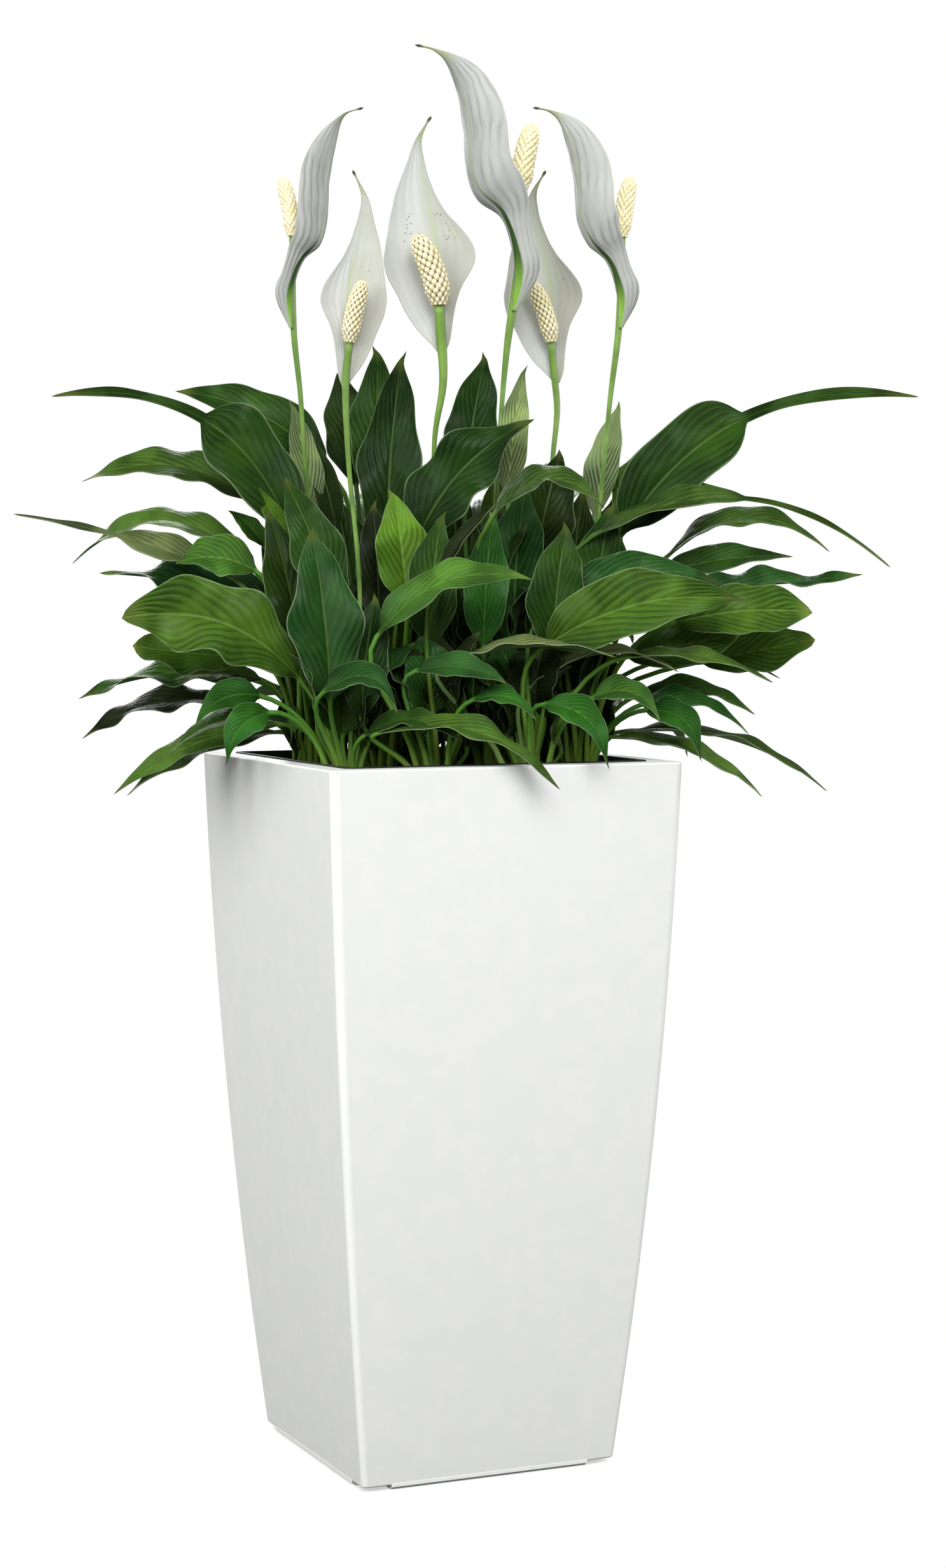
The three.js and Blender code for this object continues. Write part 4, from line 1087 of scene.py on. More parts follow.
# %% Rings of a leaf
def blade_share(along, outline):
    """The blade's width along its length, as a share of its full width."""
    widen, narrow, tail = OUTLINES[outline]
    blade = min(1, along / (1 - tail))
    widest = widen / (widen + narrow)
    share = blade ** widen * (1 - blade) ** narrow / (widest ** widen * (1 - widest) ** narrow)
    if along < 1 - tail - TAIL_OVERLAP or not tail:
        return share
    past = max(0, (along - 1 + tail) / tail)
    return max(share, TAIL_SHARE * tail * math.sqrt(past + TAIL_START) * (1 - past) ** TAIL_TAPER)


def stalk_ring(centre, ahead, side, radius, along, tint):
    """A round ring. Its points keep their numbers when the stalk becomes the blade."""
    above = ahead.cross(side) * STALK_FLATNESS
    ring = []
    for count, (share, below) in enumerate(AROUND):
        turn = 2 * math.pi * (count + 0.5) / len(AROUND)
        ring.append((circle_spot(centre, side, above, turn, radius), ((share, along - 1, below), tint)))
    return ring


def blade_ring(centre, ahead, side, half, middle, lifts, along, tint):
    """A flat folded ring. Lifts are how far the right and left margins stand up."""
    above = ahead.cross(side)
    broad = min(1, half / FULL_RELIEF_HALF)
    ring = []
    for share, below in AROUND:
        out = abs(share)
        spot = centre + side * half * share
        rib = math.exp(-(share * half / MIDRIB_WIDTH) ** 2)
        phase = PLEATS * along - PLEAT_SWEEP * out ** RIB_CURVE
        height = PLEAT_HEIGHT * (0.5 + noise.noise(centre / SWELL_SIZE)) * broad
        pleat = height * math.cos(2 * math.pi * phase) * (1 - out ** 4) * (1 - rib)
        fold, wave, crimp = lifts[0 if share > 0 else 1]
        swell = SWELL_HEIGHT * noise.noise(spot / SWELL_SIZE) * broad * out
        lift = fold * (out - DROOP * out ** 3) + wave * out ** 1.6 + crimp * out ** 3 + pleat + swell
        if below:
            lift -= BLADE_EDGE + (middle - BLADE_EDGE + KEEL * (1 - along)) * rib
        else:
            lift += BLADE_EDGE - GROOVE * (1 - along) * rib
        ring.append((spot + above * lift, ((share, along, below), tint)))
    return ring


def blend_rings(first, second, share):
    return [(a.lerp(b, share), values) for (a, _), (b, values) in zip(first, second)]


widest = max(range(100), key=lambda percent: blade_share(percent / 100, "plain"))
print("a plain blade is widest at", widest, "percent of its length")


# %% Tint and course of a leaf
def leaf_tint_and_glint(tone, index, shade):
    """The leaf's colour, and how strong the painted highlight on its margin and the painted sheen on pale
    leaves are.
    """
    # the fourth number is the strength of the margin's painted highlight; above 1 it also paints a silvery
    # sheen
    margin_highlight = 1 if index < len(OUTER_LEAVES) else SHADED_MARGIN_HIGHLIGHT
    if tone == "pale":
        margin_highlight = SHEEN_MARGIN
    return (*(shade * channel for channel in paint(LEAF_TONES[tone])[:3]), margin_highlight)


def leaf_course(crown, neck, tip, bow):
    """The curves of the stalk and the midrib, and the level direction across the blade."""
    chord = tip - neck
    heading = Vector((chord.x, chord.y, 0)).normalized()
    level = UP.cross(heading)
    rise = chord.cross(level).normalized()
    midrib = [neck, neck.lerp(tip, 0.5) + 2 * bow * rise, tip]
    centre = Vector((*CROWNS[crown], -SOIL_DROP))
    outward = Vector((neck.x - centre.x, neck.y - centre.y, 0))
    foot = centre + outward.normalized() * min(STALK_SPREAD, SPREAD_SHARE * outward.length)
    reach = (neck - foot).length
    start = on_bezier(midrib, 0)[1]
    stalk = [foot, foot + UP * STALK_RISE * reach, neck - start * STALK_APPROACH * reach, neck]
    return stalk, midrib, level


print("tint of a deep green leaf:", [round(c, 3) for c in leaf_tint_and_glint("deep", 0, 1)])


# %% One leaf from its foot in the soil to its tip
def swing(turns, along, index):
    """Where a wave stands at a place on a leaf, as an angle."""
    return math.radians(turns[0] * along + turns[1] * index)


def stalk_rings(stalk, level, roll, tint):
    rings = []
    for step in range(STALK_ROWS):
        along = step / STALK_ROWS
        spot, ahead = on_bezier(stalk, along)
        side = turned(level, ahead, roll * along ** 2)
        radius = STALK_RADIUS * (1 + SHEATH * (1 - along) ** 3)
        rings.append(stalk_ring(spot, ahead, side, radius, along, tint))
    return rings


def blade_rings(row, index, midrib, level, hook, tint):
    _, _, _, width, bow, rolls, wave, outline, _ = row
    length = (midrib[-1] - midrib[0]).length * (1 + abs(bow) / LENGTHENING_BOW)
    rows = max(LEAST_ROWS, round(length / ROW_LENGTH))
    rings = []
    for step in range(rows):
        along = step / rows
        spot, ahead = on_bezier(midrib, along)
        spot = spot + hook * ease(along, HOOK_START, 1) ** 2
        twist = TWIST * wave * ease(along, *TWIST_SPAN) * math.sin(swing(TWIST_TURNS, along, index))
        side = turned(level, ahead, mix(*rolls, along) + twist)
        slender = mix(STALK_RADIUS, TIP_RADIUS, min(1, SLENDER_SPEED * along))
        share = blade_share(along, outline)
        uneven = 1 + UNEVENNESS * wave * math.sin(swing(UNEVEN_TURNS, along, index))
        half = max(slender, width / 2 * share * uneven)
        slope = mix(FOLD_AT_NECK, FOLD, min(1, FOLD_SPEED * along))
        fold = (half - slender) * math.tan(math.radians(slope))
        crimp = CRIMP * wave * share * math.sin(swing(CRIMP_TURNS, along, index))
        lifts = (
            (fold, WAVE * wave * share * math.sin(swing(RIGHT_TURNS, along, index)), crimp),
            (fold, WAVE * wave * share * math.cos(swing(LEFT_TURNS, along, index)), -crimp),
        )
        ring = blade_ring(spot, ahead, side, half, mix(*MIDRIB_DEPTHS, along), lifts, along, tint)
        if along < NECK_SHARE:
            round_one = stalk_ring(spot, ahead, side, slender, 1, tint)
            ring = blend_rings(round_one, ring, ease(along, 0, NECK_SHARE))
        rings.append(ring)
    return rings


def leaf_rings(row, index, shade):
    crown, neck, tip, _, bow, rolls, _, _, tone = row
    tint = leaf_tint_and_glint(tone, index, shade)
    stalk, midrib, level = leaf_course(crown, Vector(neck), Vector(tip), bow)
    hook = level * HOOK * (1 if index % 2 else -1)
    foot_end = [(stalk[0] - UP * FOOT_DEPTH, ((0, -1, 0), tint))] * len(AROUND)
    tip_end = [(midrib[-1] + hook, ((0, 1, 0), tint))] * len(AROUND)
    lower = stalk_rings(stalk, level, rolls[0], tint)
    return [foot_end, *lower, *blade_rings(row, index, midrib, level, hook, tint), tip_end]


print("rings in the first leaf:", len(leaf_rings(LEAVES[0], 0, 1)))

# %% Make the clump, crown by crown
ROOT_DEPTH = 38
CROWN_RISE = 7
CROWN_RADIUS = 11
CROWN_SHARES = (0.9, 0.7)
CROWN_SIDES = 16
CROWN_ROUNDING, CROWN_STEPS = 2.5, 3
CROWN_COLOUR = "5f7a38"
SHADES = (0.98, 1.52)


def add_stock(bm, x, y, layers):
    """The short root stock that a crown's stalks spring from, half in the soil."""
    height = ROOT_DEPTH + CROWN_RISE
    place = Matrix.Translation((x, y, -SOIL_DROP - ROOT_DEPTH + height / 2))
    low, high = (CROWN_RADIUS * share for share in CROWN_SHARES)
    made = bmesh.ops.create_cone(
        bm, cap_ends=True, segments=CROWN_SIDES, radius1=low, radius2=high, depth=height,
        matrix=place)["verts"]
    rims = {e for vert in made for e in vert.link_edges if len({round(v.co.z) for v in e.verts}) == 1}
    soften(bm, list(rims), CROWN_ROUNDING, CROWN_STEPS)
    for vert in bm.verts:
        vert[layers[0]] = (0, -1, 0)
        vert[layers[1]] = paint(CROWN_COLOUR)


def make_clump(name):
    bm = bmesh.new()
    places, tints = bm.verts.layers.float_vector, bm.verts.layers.float_color
    layers = (places.new("leaf_place"), tints.new("leaf_tint_and_glint"))
    add_stock(bm, *CROWNS[name], layers)
    draw = random.Random(sum(map(ord, name)))
    for index, row in enumerate(ALL_LEAVES):
        if row[0] == name:
            rolled_grid(bm, leaf_rings(row, index, draw.uniform(*SHADES)), layers)
    face_outwards(bm)
    piece(bm, "leaves_" + name, ["crown_" + name], LEAF_SKIN, PLANT_PLACE)


for crown in CROWNS:
    make_clump(crown)

# %% [markdown]
# ## The blooms
#
# What looks like a flower is three pieces: a green stem or scape, a white leaf called the spathe,
# and the spadix, a finger covered with florets, which are the true flowers. Six blooms stand
# above the leaves. Three face the fullest side, and three are seen from the side or the back.
# Each row gives the stem's course, the spadix's top and radius, the spathe's midrib, the way that
# it faces at its foot and further up in degrees, how far it curls, and the width and outline of
# its two sides.

# %% The six blooms
BLOOMS = [
    {
        "stem": [(-74, 14, -20), (-88, 8, 90), (-103, 0, 218), (-108, -1, 290), (-113, -1, 340),
                 (-114, 0, 414)],
        "spadix": (-123, 2, 462), "spadix_radius": 5.8,
        "midrib": [(-114, -4, 340), (-114, -6, 372), (-106, -7, 396), (-94, -7, 409), (-89, -6, 430),
                   (-87, -4, 462), (-79, 0, 496), (-72, 2, 510), (-57, 6, 516)],
        "faces": (-160, -114), "curl": 56, "sides": ((25, "hooded"), (26, "lobed")),
    },
    {
        "stem": [(-56, -60, -20), (-58, -56, 60), (-60, -50, 150), (-68, -44, 236), (-70, -40, 298),
                 (-67, -42, 327)],
        "spadix": (-55, -46, 375), "spadix_radius": 6.5,
        "midrib": [(-71, -37, 291), (-71, -33, 320), (-69, -30, 352), (-66, -27, 384), (-61, -24, 415),
                   (-57, -24, 440), (-60, -24, 452), (-65, -25, 463)],
        "faces": (8, 4), "curl": 38, "sides": ((24, "pointed"), (32, "full")),
    },
    {
        "stem": [(6, 6, -20), (4, 2, 120), (-1, -12, 250), (6, -16, 298), (4, -20, 340), (3, -22, 358)],
        "spadix": (-16, -25, 412), "spadix_radius": 9,
        "midrib": [(5, -15, 319), (5, -10, 345), (4, -6, 374), (1, -4, 407), (-5, -3, 440), (-11, -4, 472),
                   (-12, -6, 489), (-7, -8, 501), (-3, -10, 507)],
        "faces": (-8, -4), "curl": 32, "sides": ((45, "full"), (32, "pointed")),
    },
    {
        "stem": [(40, 24, -20), (44, 22, 120), (51, 18, 255), (57, 17, 328), (65, 14, 386), (68, 12, 452)],
        "spadix": (78, 12, 504), "spadix_radius": 8,
        "midrib": [(61, 12, 355), (64, 9, 380), (63, 7, 405), (54, 6, 433), (37, 5, 450), (29, 6, 472),
                   (27, 7, 500), (20, 10, 535), (8, 12, 556), (-2, 14, 563), (-17, 16, 567)],
        "faces": (160, 118), "curl": 56, "sides": ((38, "lobed"), (38, "hooded")),
    },
    {
        "stem": [(78, 14, -20), (89, 22, 120), (94, 42, 235), (98, 47, 280), (96, 48, 305), (93, 46, 334)],
        "spadix": (76, 42, 383), "spadix_radius": 6.6,
        "midrib": [(98, 51, 300), (97, 55, 325), (95, 58, 352), (92, 60, 385), (86, 62, 417),
                   (81, 63, 442), (81, 62, 458), (89, 60, 474)],
        "faces": (-8, -4), "curl": 38, "sides": ((41, "full"), (28, "pointed")),
    },
    {
        "stem": [(108, 8, -20), (120, 6, 100), (133, 2, 218), (139, 1, 285), (146, 0, 345), (148, 0, 413)],
        "spadix": (156, 2, 462), "spadix_radius": 6.6,
        "midrib": [(146, -3, 340), (145, -6, 370), (138, -7, 394), (124, -7, 410), (116, -6, 430),
                   (114, -4, 456), (109, -2, 482), (99, 2, 506), (90, 4, 513), (77, 6, 516)],
        "faces": (160, 114), "curl": 56, "sides": ((34, "lobed"), (34, "hooded")),
    },
]
print("blooms:", len(BLOOMS))

# %% [markdown]
# ## Smooth courses
#
# A stem is noted as a few points that it passes through. The curve between them is the one that
# never overshoots, because each stretch takes the square root of its length as its time. The
# points are then spaced evenly along it, so that the rings of a skin are too.

# %% A smooth course through points
FINE_STEPS = 24


def smooth_line(points):
    """Close points on a smooth curve through the given ones."""
    points = [Vector(spot) for spot in points]
    ends = [2 * points[0] - points[1], *points, 2 * points[-1] - points[-2]]
    line = []
    for a, b, c, d in zip(ends, ends[1:], ends[2:], ends[3:]):
        before, during, after = (math.sqrt((q - p).length) for p, q in ((a, b), (b, c), (c, d)))
        leave = ((b - a) / before - (c - a) / (before + during)) * during + (c - b)
        arrive = ((d - c) / after - (d - b) / (during + after)) * during + (c - b)
        for step in range(FINE_STEPS):
            t = step / FINE_STEPS
            cubic = (2 * b - 2 * c + leave + arrive) * t ** 3
            square = (3 * c - 3 * b - 2 * leave - arrive) * t ** 2
            line.append(cubic + square + leave * t + b)
    return [*line, points[-1]]


def even_course(line, steps):
    """Spots at even steps along a line, each with the direction there."""
    lengths = [0]
    for a, b in zip(line, line[1:]):
        lengths.append(lengths[-1] + (b - a).length)
    course = []
    part = 0
    for step in range(steps + 1):
        goal = lengths[-1] * step / steps
        while part < len(line) - 2 and lengths[part + 1] < goal:
            part += 1
        share = (goal - lengths[part]) / (lengths[part + 1] - lengths[part])
        before, after = line[max(0, part - 1)], line[min(len(line) - 1, part + 2)]
        course.append((line[part].lerp(line[part + 1], share), (after - before).normalized()))
    return course


print("points on the first stem's curve:", len(smooth_line(BLOOMS[0]["stem"])))


# %% [markdown]
# ## Finishes of the blooms
#
# The spathe is white with painted grey shade in its grooves, on one half of its inner face and beside
# its midrib. It is greener along the midrib and at the foot, with a green wedge underneath, and its
# drawn-out tip is green with a brown end. A few grains of pollen lie on the spathes beside the
# spadix. The florets are cream; the gaps between them are brown, partly their own colour and partly
# painted shade. The stem is a bright yellow-green with faint streaks along it, and darker towards its
# foot with painted shade.

# %% Colour of the spathe
def spathe_sheet(tree, here, across, out, below, rib, fine_vein, calm):
    """The sheet, paler underneath, with painted shade on one half, beside the midrib and in the pleats'
    grooves, and fine veins.
    """
    # painted shade: one half of the inner face is darker, and so is a strip beside the midrib
    inside = blend(tree, between(tree, across, -0.35, 0.12, 1.0, 0.0), "c4c6c2", "afb0a5")
    midrib_shade = between(tree, out, 0.02, 0.4, 0.55, 0.0)
    sheet = blend(tree, below, blend(tree, midrib_shade, inside, "9da08d"), "a9aba7")
    patchy = drifting(tree, here, sheet, "b8bbb7", size=0.03, amount=0.4)
    # painted shade in the pleats' grooves, strongest on the back, with faint fine veins
    spathe_groove_shade = maths(tree, "POWER", inverse(tree, rib), 2.5)
    groove_shade_and_veins = scaled(tree, spathe_groove_shade, 0.5, times(tree, fine_vein, calm, 0.07))
    return blend(tree, times(tree, groove_shade_and_veins, scaled(tree, below, 0.85, 0.15)), patchy, "767b73")


def spathe_marks(tree, sheet, out, along, below):
    """The green of the midrib, margin, foot, wedge and tip, and the brown end."""
    keel = inverse(tree, between(tree, out, 0.0, 0.07))
    keel_share = times(tree, keel, between(tree, along, 0.2, 0.95, 0.85, 0.5))
    keeled = blend(tree, keel_share, sheet, "a9b585")
    edged = blend(tree, between(tree, out, 0.95, 1.0, 0.0, 0.25), keeled, "bcc2a0")
    footed = blend(tree, between(tree, along, 0.0, 0.08, 0.6, 0.0), edged, "a9c07f")
    wedge_width = between(tree, along, 0.06, 0.46, 0.42, 0.03)
    wedge = between(tree, out, times(tree, wedge_width, 0.7), wedge_width, 1.0, 0.0)
    wedge_green = blend(tree, between(tree, along, 0.05, 0.22), "7fae3e", "2c4a1c")
    wedge_share = times(tree, wedge, between(tree, along, 0.3, 0.5, 1.0, 0.0), below)
    wedged = blend(tree, wedge_share, footed, wedge_green)
    tipped = blend(tree, between(tree, along, 0.84, 0.93, 0.0, 0.7), wedged, "94a163")
    return blend(tree, between(tree, along, 0.965, 0.985), tipped, "5b4a34")


# %% Grains of pollen
POLLEN_SCALE = 330.0
POLLEN_SIZE = 0.24
POLLEN_PATCH_SCALE = 60.0


def pollen(tree, here, out, along, below):
    """1 where a grain of pollen lies: beside the spadix, on the upper face."""
    spots = add(tree, "TexVoronoi", {"Vector": here, "Scale": POLLEN_SCALE})
    grain = maths(tree, "LESS_THAN", spots.outputs["Distance"], POLLEN_SIZE)
    patch = maths(tree, "GREATER_THAN", cloud(tree, here, POLLEN_PATCH_SCALE, 2.0), 0.5)
    band = times(tree, between(tree, along, 0.46, 0.5), between(tree, along, 0.58, 0.62, 1.0, 0.0))
    off_midrib = times(tree, between(tree, out, 0.15, 0.3), between(tree, out, 0.6, 0.7, 1.0, 0.0))
    beside = maths(tree, "GREATER_THAN", times(tree, band, off_midrib), 0.25)
    return times(tree, times(tree, grain, patch, beside), inverse(tree, below))


# %% Spathe finish
SPATHE_PLEATS = 4
SPATHE_GRAIN = 0.001
SPATHE_RELIEF = 0.0008
SPATHE_GLOSS = 0.25


def make_spathe_finish():
    made, tree, shader, here = new_finish("spathe_skin")
    across, along, below = skin_place(tree, "spathe_place")
    out = maths(tree, "ABSOLUTE", across)
    rib, _ = ribs_of(tree, here, across, along, ribs=3.0, sweep=SPATHE_PLEATS, wander=1.0)
    fine_rib, fine_vein = ribs_of(
        tree, here, across, along, ribs=9.0, sweep=3 * SPATHE_PLEATS, wander=1.2)
    calm = between(tree, along, 0.5, 0.8, 1.0, 0.1)
    sheet = spathe_sheet(tree, here, across, out, below, rib, fine_vein, calm)
    marked = spathe_marks(tree, sheet, out, along, below)
    dust = times(tree, pollen(tree, here, out, along, below), 0.6)
    feed(tree, shader.inputs["Base Color"], blend(tree, dust, marked, "3f4640"))

    grain = grain_of(tree, here, SPATHE_GRAIN)
    relief = scaled(tree, times(tree, fine_rib, calm), 0.3, rib)
    shown = times(tree, relief, scaled(tree, below, 0.75, 0.25))
    emboss(tree, shader, scaled(tree, grain, 0.08, shown), SPATHE_RELIEF, strength=0.5)
    feed(tree, shader.inputs["Roughness"], scaled(tree, grain, 0.15, 0.42))
    shader.inputs["Specular IOR Level"].default_value = SPATHE_GLOSS
    return made


SPATHE_SKIN = make_spathe_finish()
print("finish:", SPATHE_SKIN.name)

# %% Floret and stem finishes
FLORET_GRAIN = 0.0007
STEM_GRAIN = 0.001
FINE_RELIEF = 0.0003


def make_floret_finish():
    made, tree, shader, here = new_finish("floret_skin")
    crest = add(tree, "Attribute", attribute_name="floret_crest_and_gap_light").outputs["Fac"]
    cream = drifting(tree, here, "f6eecb", "ecdca2", size=0.006, amount=0.7)
    # the gaps are dark brown, partly their own colour and partly painted shade
    colour = blend(tree, between(tree, crest, 0.32, 0.8), "4a3710", cream)
    feed(tree, shader.inputs["Base Color"], colour)
    grain = grain_of(tree, here, FLORET_GRAIN)
    emboss(tree, shader, grain, FINE_RELIEF)
    feed(tree, shader.inputs["Roughness"], scaled(tree, grain, 0.2, 0.5))
    return made


def make_stem_finish():
    made, tree, shader, here = new_finish("stem_skin")
    around, along, _ = skin_place(tree, "stem_place")
    rib, streak = ribs_of(tree, here, around, along, ribs=0.0, sweep=11.0, wander=0.3)
    # painted shade: the stem is darker low down, among the leaves, and lighter towards the bloom
    shaded_foot = blend(tree, between(tree, along, 0.3, 0.9), "4b7a2b", "6c9337")
    patchy = drifting(tree, here, shaded_foot, "8fb04e", size=0.02, amount=0.45)
    streaked = blend(tree, times(tree, streak, 0.25), patchy, "3f6f2a")
    feed(tree, shader.inputs["Base Color"], streaked)
    emboss(tree, shader, rib, FINE_RELIEF)
    feed(tree, shader.inputs["Roughness"], scaled(tree, grain_of(tree, here, STEM_GRAIN), 0.15, 0.35))
    return made


FLORET_SKIN = make_floret_finish()
STEM_SKIN = make_stem_finish()
print("finishes:", FLORET_SKIN.name, STEM_SKIN.name)

# %% [markdown]
# ## Stem, spathe and spadix
#
# The stem is a round skin that thickens towards its neck, where the spathe and the spadix join it.
# The spathe is a sheet that curls forward to both sides of its midrib, so its section is an arc,
# and the arc's width follows the outline. Pleats run along it from foot to tip. The spadix is one
# skin too: its florets stand in staggered rows, and each point rises or sinks with its distance
# from the nearest floret's middle. The gaps between the florets are brown, partly their own colour
# and partly painted shade; on the three blooms that turn away they get painted light and are paler.

# %% Stem
STEM_RADIUS = 1.9
STEM_NECK_SHARE = 0.45
STEM_NECK_REACH = (-80, 25)
STEM_AROUND = 14
STEM_STEP = 7.0


def new_skin(kind, layer):
    """An empty mesh with a layer of numbers for its finish."""
    bm = bmesh.new()
    return bm, (getattr(bm.verts.layers, kind).new(layer),)


def stem_line(bloom):
    x, y, soil = bloom["stem"][0]
    return smooth_line([(x, y, soil - ROOT_DEPTH), (x, y, soil - ROOT_DEPTH / 2), *bloom["stem"]])


def make_stem(bloom, number):
    line = stem_line(bloom)
    length = sum((b - a).length for a, b in zip(line, line[1:]))
    course = even_course(line, round(length / STEM_STEP))
    bm, layers = new_skin("float_vector", "stem_place")
    low, high = (bloom["midrib"][0][2] + reach for reach in STEM_NECK_REACH)
    neck_radius = STEM_NECK_SHARE * bloom["spadix_radius"]
    rings = []
    for step, (centre, ahead) in enumerate(course):
        along = step / (len(course) - 1)
        side = turned(Vector((1, 0, 0)), ahead, 0)
        other = ahead.cross(side)
        radius = mix(STEM_RADIUS, neck_radius, ease(centre.z, low, high))
        ring = []
        for column in range(STEM_AROUND):
            spot = circle_spot(centre, side, other, 2 * math.pi * column / STEM_AROUND, radius)
            ring.append((spot, ((1 - 2 * column / STEM_AROUND, along, 0),)))
        rings.append(ring)
    ends = ((course[0][0], 0), (course[-1][0], 1))
    first, last = ([(spot, ((0, along, 0),))] * STEM_AROUND for spot, along in ends)
    rolled_grid(bm, [first, *rings, last], layers)
    face_outwards(bm)
    piece(bm, f"stem_of_bloom_{number}", [f"scape_{number}"], STEM_SKIN, PLANT_PLACE)


# %% Outlines of the spathes
SPATHE_AROUND = round_section([1, 0.985] + [1 - 0.08 * step for step in range(1, 13)])
print("points round a spathe:", len(SPATHE_AROUND))
SPATHE_ROWS = 88
SPATHE_THICKNESS = 0.8
SPATHE_PLEAT_HEIGHT = 0.55
TURNED_CURL = 45
FLAT_PLEATS = 0.3
STEADY_SPAN = 7
TIP_BEAD = 0.7
BEAD_PLACE, BEAD_LENGTH = 0.985, 0.012
PLEATED_HALF = 12
THICK_HALF = 2
PLEATS_ALONG = 3
OUTLINE_SOFTENING = 0.02
TURN_SPEED = 3

# How wide one side of a spathe is at shares of its length, as a share of its full width.
SPATHE_OUTLINES = {
    "full": ((0, 0.03), (0.05, 0.2), (0.1, 0.44), (0.18, 0.66), (0.26, 0.8), (0.34, 0.97), (0.42, 1),
             (0.5, 0.9), (0.6, 0.76), (0.7, 0.57), (0.8, 0.28), (0.88, 0.1), (0.93, 0.03), (1, 0.01)),
    "pointed": ((0, 0.04), (0.05, 0.22), (0.15, 0.3), (0.22, 0.4), (0.28, 0.55), (0.33, 0.8), (0.38, 1),
                (0.44, 0.95), (0.5, 0.72), (0.58, 0.38), (0.66, 0.19), (0.75, 0.09),
                (0.87, 0.04), (1, 0.01)),
    "lobed": ((0, 0.05), (0.06, 0.28), (0.11, 0.46), (0.16, 0.55), (0.22, 0.42), (0.28, 0.5), (0.34, 0.78),
              (0.4, 1), (0.55, 1), (0.67, 0.95), (0.75, 0.75), (0.82, 0.48), (0.88, 0.14),
              (0.92, 0.03), (1, 0.01)),
    "hooded": ((0, 0.02), (0.12, 0.06), (0.2, 0.16), (0.3, 0.3), (0.4, 0.8), (0.5, 1), (0.62, 1),
               (0.73, 0.85), (0.82, 0.5), (0.88, 0.14), (0.92, 0.03), (1, 0.01)),
}


def spathe_share(along, outline):
    """One side's width at a share of the length. The mean of three places rounds its corners."""
    shares = []
    for place in (along - OUTLINE_SOFTENING, along, along + OUTLINE_SOFTENING):
        place = min(1, max(0, place))
        for (low, before), (high, after) in zip(SPATHE_OUTLINES[outline], SPATHE_OUTLINES[outline][1:]):
            if low <= place <= high:
                shares.append(mix(before, after, (place - low) / (high - low)))
                break
    return sum(shares) / len(shares)

# %% Spathe
def turns_away(bloom):
    """The three blooms seen from the side or the back curl more than the others."""
    return bloom["curl"] > TURNED_CURL


print("blooms that turn away:", sum(map(turns_away, BLOOMS)))


def spathe_ring(bloom, centre, ahead, along):
    face = math.radians(mix(*bloom["faces"], min(1, TURN_SPEED * along)))
    front = turned(Vector((math.sin(face), -math.cos(face), 0)), ahead, 0)
    side = front.cross(ahead)
    curl = math.radians(bloom["curl"])
    bead = TIP_BEAD * math.exp(-((along - BEAD_PLACE) / BEAD_LENGTH) ** 2)
    widths = [width * spathe_share(along, outline) for width, outline in bloom["sides"]]
    halves = [max(TIP_RADIUS, width) + bead for width in widths]
    ring = []
    for share, below in SPATHE_AROUND:
        half = halves[0 if share > 0 else 1]
        turn = curl * share
        phase = SPATHE_PLEATS * abs(share) ** RIB_CURVE - PLEATS_ALONG * along
        height = SPATHE_PLEAT_HEIGHT * min(1, half / PLEATED_HALF) * (1 - share ** 4)
        height *= 1 if turns_away(bloom) else FLAT_PLEATS
        pleat = height * math.cos(2 * math.pi * phase)
        offset = (-0.5 if below else 0.5) * SPATHE_THICKNESS * min(1, half / THICK_HALF) + pleat
        out = half * math.sin(turn) / curl - offset * math.sin(turn)
        forward = half * (1 - math.cos(turn)) / curl + offset * math.cos(turn)
        ring.append((centre + side * out + front * forward, ((share, along, below),)))
    return ring


def steadied(course):
    """The same spots, each with the mean direction of those around it, so that no rings cross."""
    steady = []
    for step, (spot, _) in enumerate(course):
        near = course[max(0, step - STEADY_SPAN):step + STEADY_SPAN + 1]
        steady.append((spot, sum((ahead for _, ahead in near), Vector()).normalized()))
    return steady


def make_spathe(bloom, number):
    course = steadied(even_course(smooth_line(bloom["midrib"]), SPATHE_ROWS))
    bm, layers = new_skin("float_vector", "spathe_place")
    rings = [spathe_ring(bloom, *place, step / SPATHE_ROWS) for step, place in enumerate(course)]
    for row in (0, -1):
        rings[row] = [(course[row][0], ((0, -row, 0),))] * len(SPATHE_AROUND)
    rolled_grid(bm, rings, layers)
    face_outwards(bm)
    piece(bm, f"spathe_of_bloom_{number}", [f"spathe_{number}"], SPATHE_SKIN, PLANT_PLACE)


# %% Spadix
FLORETS_AROUND = 9
FLORETS_ALONG = 8
FLORET_FACES = 8
FLORET_RELIEF = 0.42
FLORET_MIDDLE = 0.6
FLORET_SQUARENESS = 1.45
print("florets on a spadix:", 2 * FLORETS_AROUND * FLORETS_ALONG)
# How much painted light lifts the gaps between the florets on the blooms that turn away.
LIT_GAP = 0.4
SPADIX_FOOT = 0.62
SPADIX_WIDENING = 2
SPADIX_BLUNTNESS = 7


def floret_height(around, along):
    """1 at a floret's middle and 0 in the gaps, for staggered rows."""
    best = 0
    for shift in (0, 0.5):
        sideways = (around * FLORETS_AROUND + shift) % 1 - 0.5
        upward = (along * FLORETS_ALONG + shift) % 1 - 0.5
        away = abs(2 * sideways) ** FLORET_SQUARENESS + abs(2 * upward) ** FLORET_SQUARENESS
        best = max(best, 1 - away)
    return math.sqrt(max(0, best))


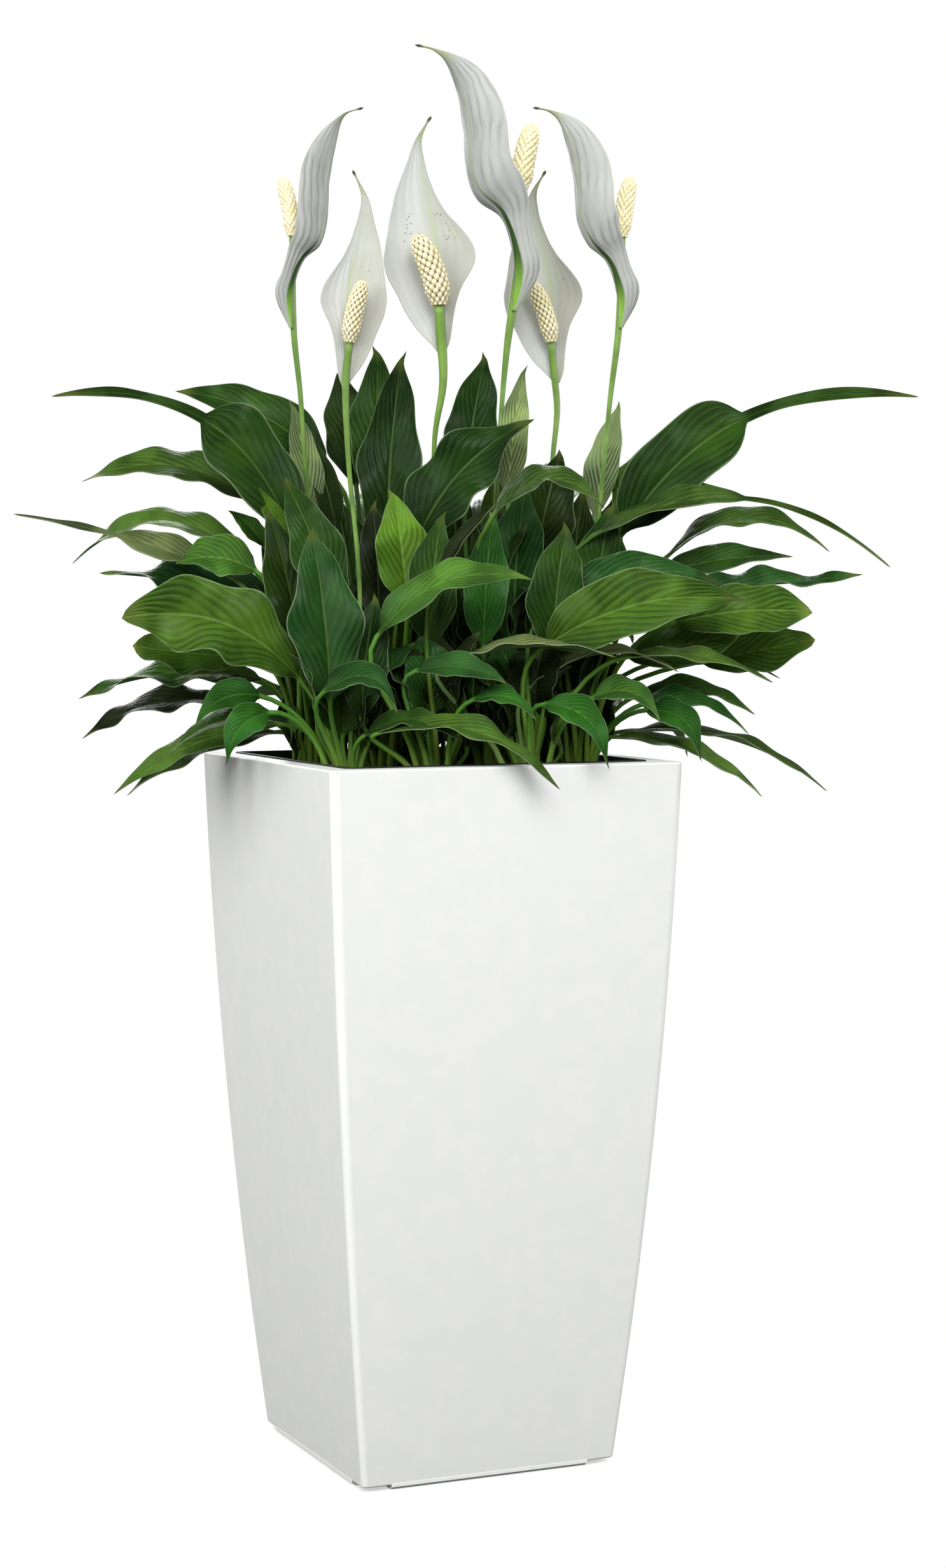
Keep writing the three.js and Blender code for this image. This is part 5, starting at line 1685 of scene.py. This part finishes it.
def make_spadix(bloom, number):
    line = stem_line(bloom)
    ahead = (line[-1] - line[-2]).normalized()
    foot, top = line[-1] + ahead * GAP, Vector(bloom["spadix"])
    axis = [foot, foot + ahead * (top - foot).length / 2, top]
    columns, rows = FLORETS_AROUND * FLORET_FACES, FLORETS_ALONG * 2 * FLORET_FACES
    bm, layers = new_skin("float", "floret_crest_and_gap_light")
    # painted light: on the blooms that turn away, the gaps' colour is lifted towards the florets' cream
    painted_gap_light = LIT_GAP if turns_away(bloom) else 0
    rings = []
    for row in range(rows + 1):
        along = row / rows
        centre, forward = on_bezier(axis, along)
        side = Vector((0, 1, 0)).cross(forward).normalized()
        other = forward.cross(side)
        plain = bloom["spadix_radius"] * min(1, SPADIX_FOOT + SPADIX_WIDENING * along)
        plain *= math.sqrt(max(0, 1 - along ** SPADIX_BLUNTNESS))
        ring = []
        for column in range(columns):
            around = column / columns
            crest = floret_height(around, along)
            radius = plain * (1 + FLORET_RELIEF * (crest - FLORET_MIDDLE))
            spot = circle_spot(centre, side, other, 2 * math.pi * around, radius)
            ring.append((spot, (mix(painted_gap_light, 1, crest),)))
        rings.append(ring)
    rolled_grid(bm, [[(foot, (0.5,))] * columns, *rings], layers)
    face_outwards(bm)
    piece(bm, f"spadix_of_bloom_{number}", [f"spadix_{number}"], FLORET_SKIN, PLANT_PLACE)


# %% Make the six blooms
for bloom_number, each_bloom in enumerate(BLOOMS, 1):
    make_stem(each_bloom, bloom_number)
    make_spathe(each_bloom, bloom_number)
    make_spadix(each_bloom, bloom_number)

# %% [markdown]
# ## Studio
#
# The photograph shows the plant on a pale ground in even light. A wide soft lamp stands high in
# front, a little to the left, and another fills the left side. Two more light the right side and
# the back, because a part is looked at from all around, and the sky of the studio does the rest.
# The floor is a pale disc that glows a little and fades out, so that it meets the white beyond it
# without a line. It isn't part of the plant.

# %% Floor
FLOOR_RADIUS = 0.9
FLOOR_FADE = (0.13, 0.5)
FLOOR_GLOW = 0.5
print("floor's radius in metres:", FLOOR_RADIUS)


def make_floor():
    made, tree, shader, here = new_finish("studio_floor")
    distance = add(tree, "VectorMath", {0: here}, operation="LENGTH").outputs["Value"]
    feed(tree, shader.inputs["Alpha"], between(tree, distance, *FLOOR_FADE, 1.0, 0.0))
    seen = add(tree, "LightPath").outputs["Is Camera Ray"]
    feed(tree, shader.inputs["Base Color"], blend(tree, seen, "5a5a58", "d8d8d6"))
    feed(tree, shader.inputs["Emission Color"], blend(tree, seen, "000000", "ffffff"))
    shader.inputs["Emission Strength"].default_value = FLOOR_GLOW
    shader.inputs["Roughness"].default_value = 0.9
    bm = bmesh.new()
    bmesh.ops.create_circle(bm, cap_ends=True, segments=96, radius=FLOOR_RADIUS)
    mesh_object(bm, "studio_floor", made)


make_floor()


# %% Lamps and sky
# Each lamp's place, the height that it aims at, its size in metres and its power in watts.
LAMPS = {
    "key_lamp": ((-0.8, -3.05, 2.8), 0.75, 2.3, 133),
    "fill_lamp": ((-3.0, -1.0, 2.1), 0.6, 3.4, 108),
    "right_lamp": ((3.0, 0.1, 1.5), 0.6, 2.4, 70),
    "back_lamp": ((0.5, 3.2, 2.0), 0.6, 2.4, 100),
}


def add_lamp(name, spot, aim, size, watts):
    data = bpy.data.lights.new(name, "AREA")
    data.shape = "SQUARE"
    data.size = size
    data.energy = watts
    lamp = bpy.data.objects.new(name, data)
    lamp.location = spot
    way = Vector((0, 0, aim)) - Vector(spot)
    lamp.rotation_euler = way.to_track_quat("-Z", "Y").to_euler()
    scene.collection.objects.link(lamp)


def make_sky(light, seen):
    """Light is how strongly the studio lights things; seen is how bright it looks itself."""
    world = bpy.data.worlds.new("studio_sky")
    world.use_nodes = True
    tree = world.node_tree
    by_camera = add(tree, "LightPath").outputs["Is Camera Ray"]
    strength = add(tree, "MapRange", {"Value": by_camera, "To Min": light, "To Max": seen})
    back = tree.nodes["Background"]
    back.inputs["Color"].default_value = (1, 1, 1, 1)
    feed(tree, back.inputs["Strength"], strength.outputs["Result"])
    scene.world = world


for lamp_name, lamp_settings in LAMPS.items():
    add_lamp(lamp_name, *lamp_settings)
make_sky(light=0.25, seen=1.0)
scene.view_settings.view_transform = "Standard"
print("lamps:", len(LAMPS))
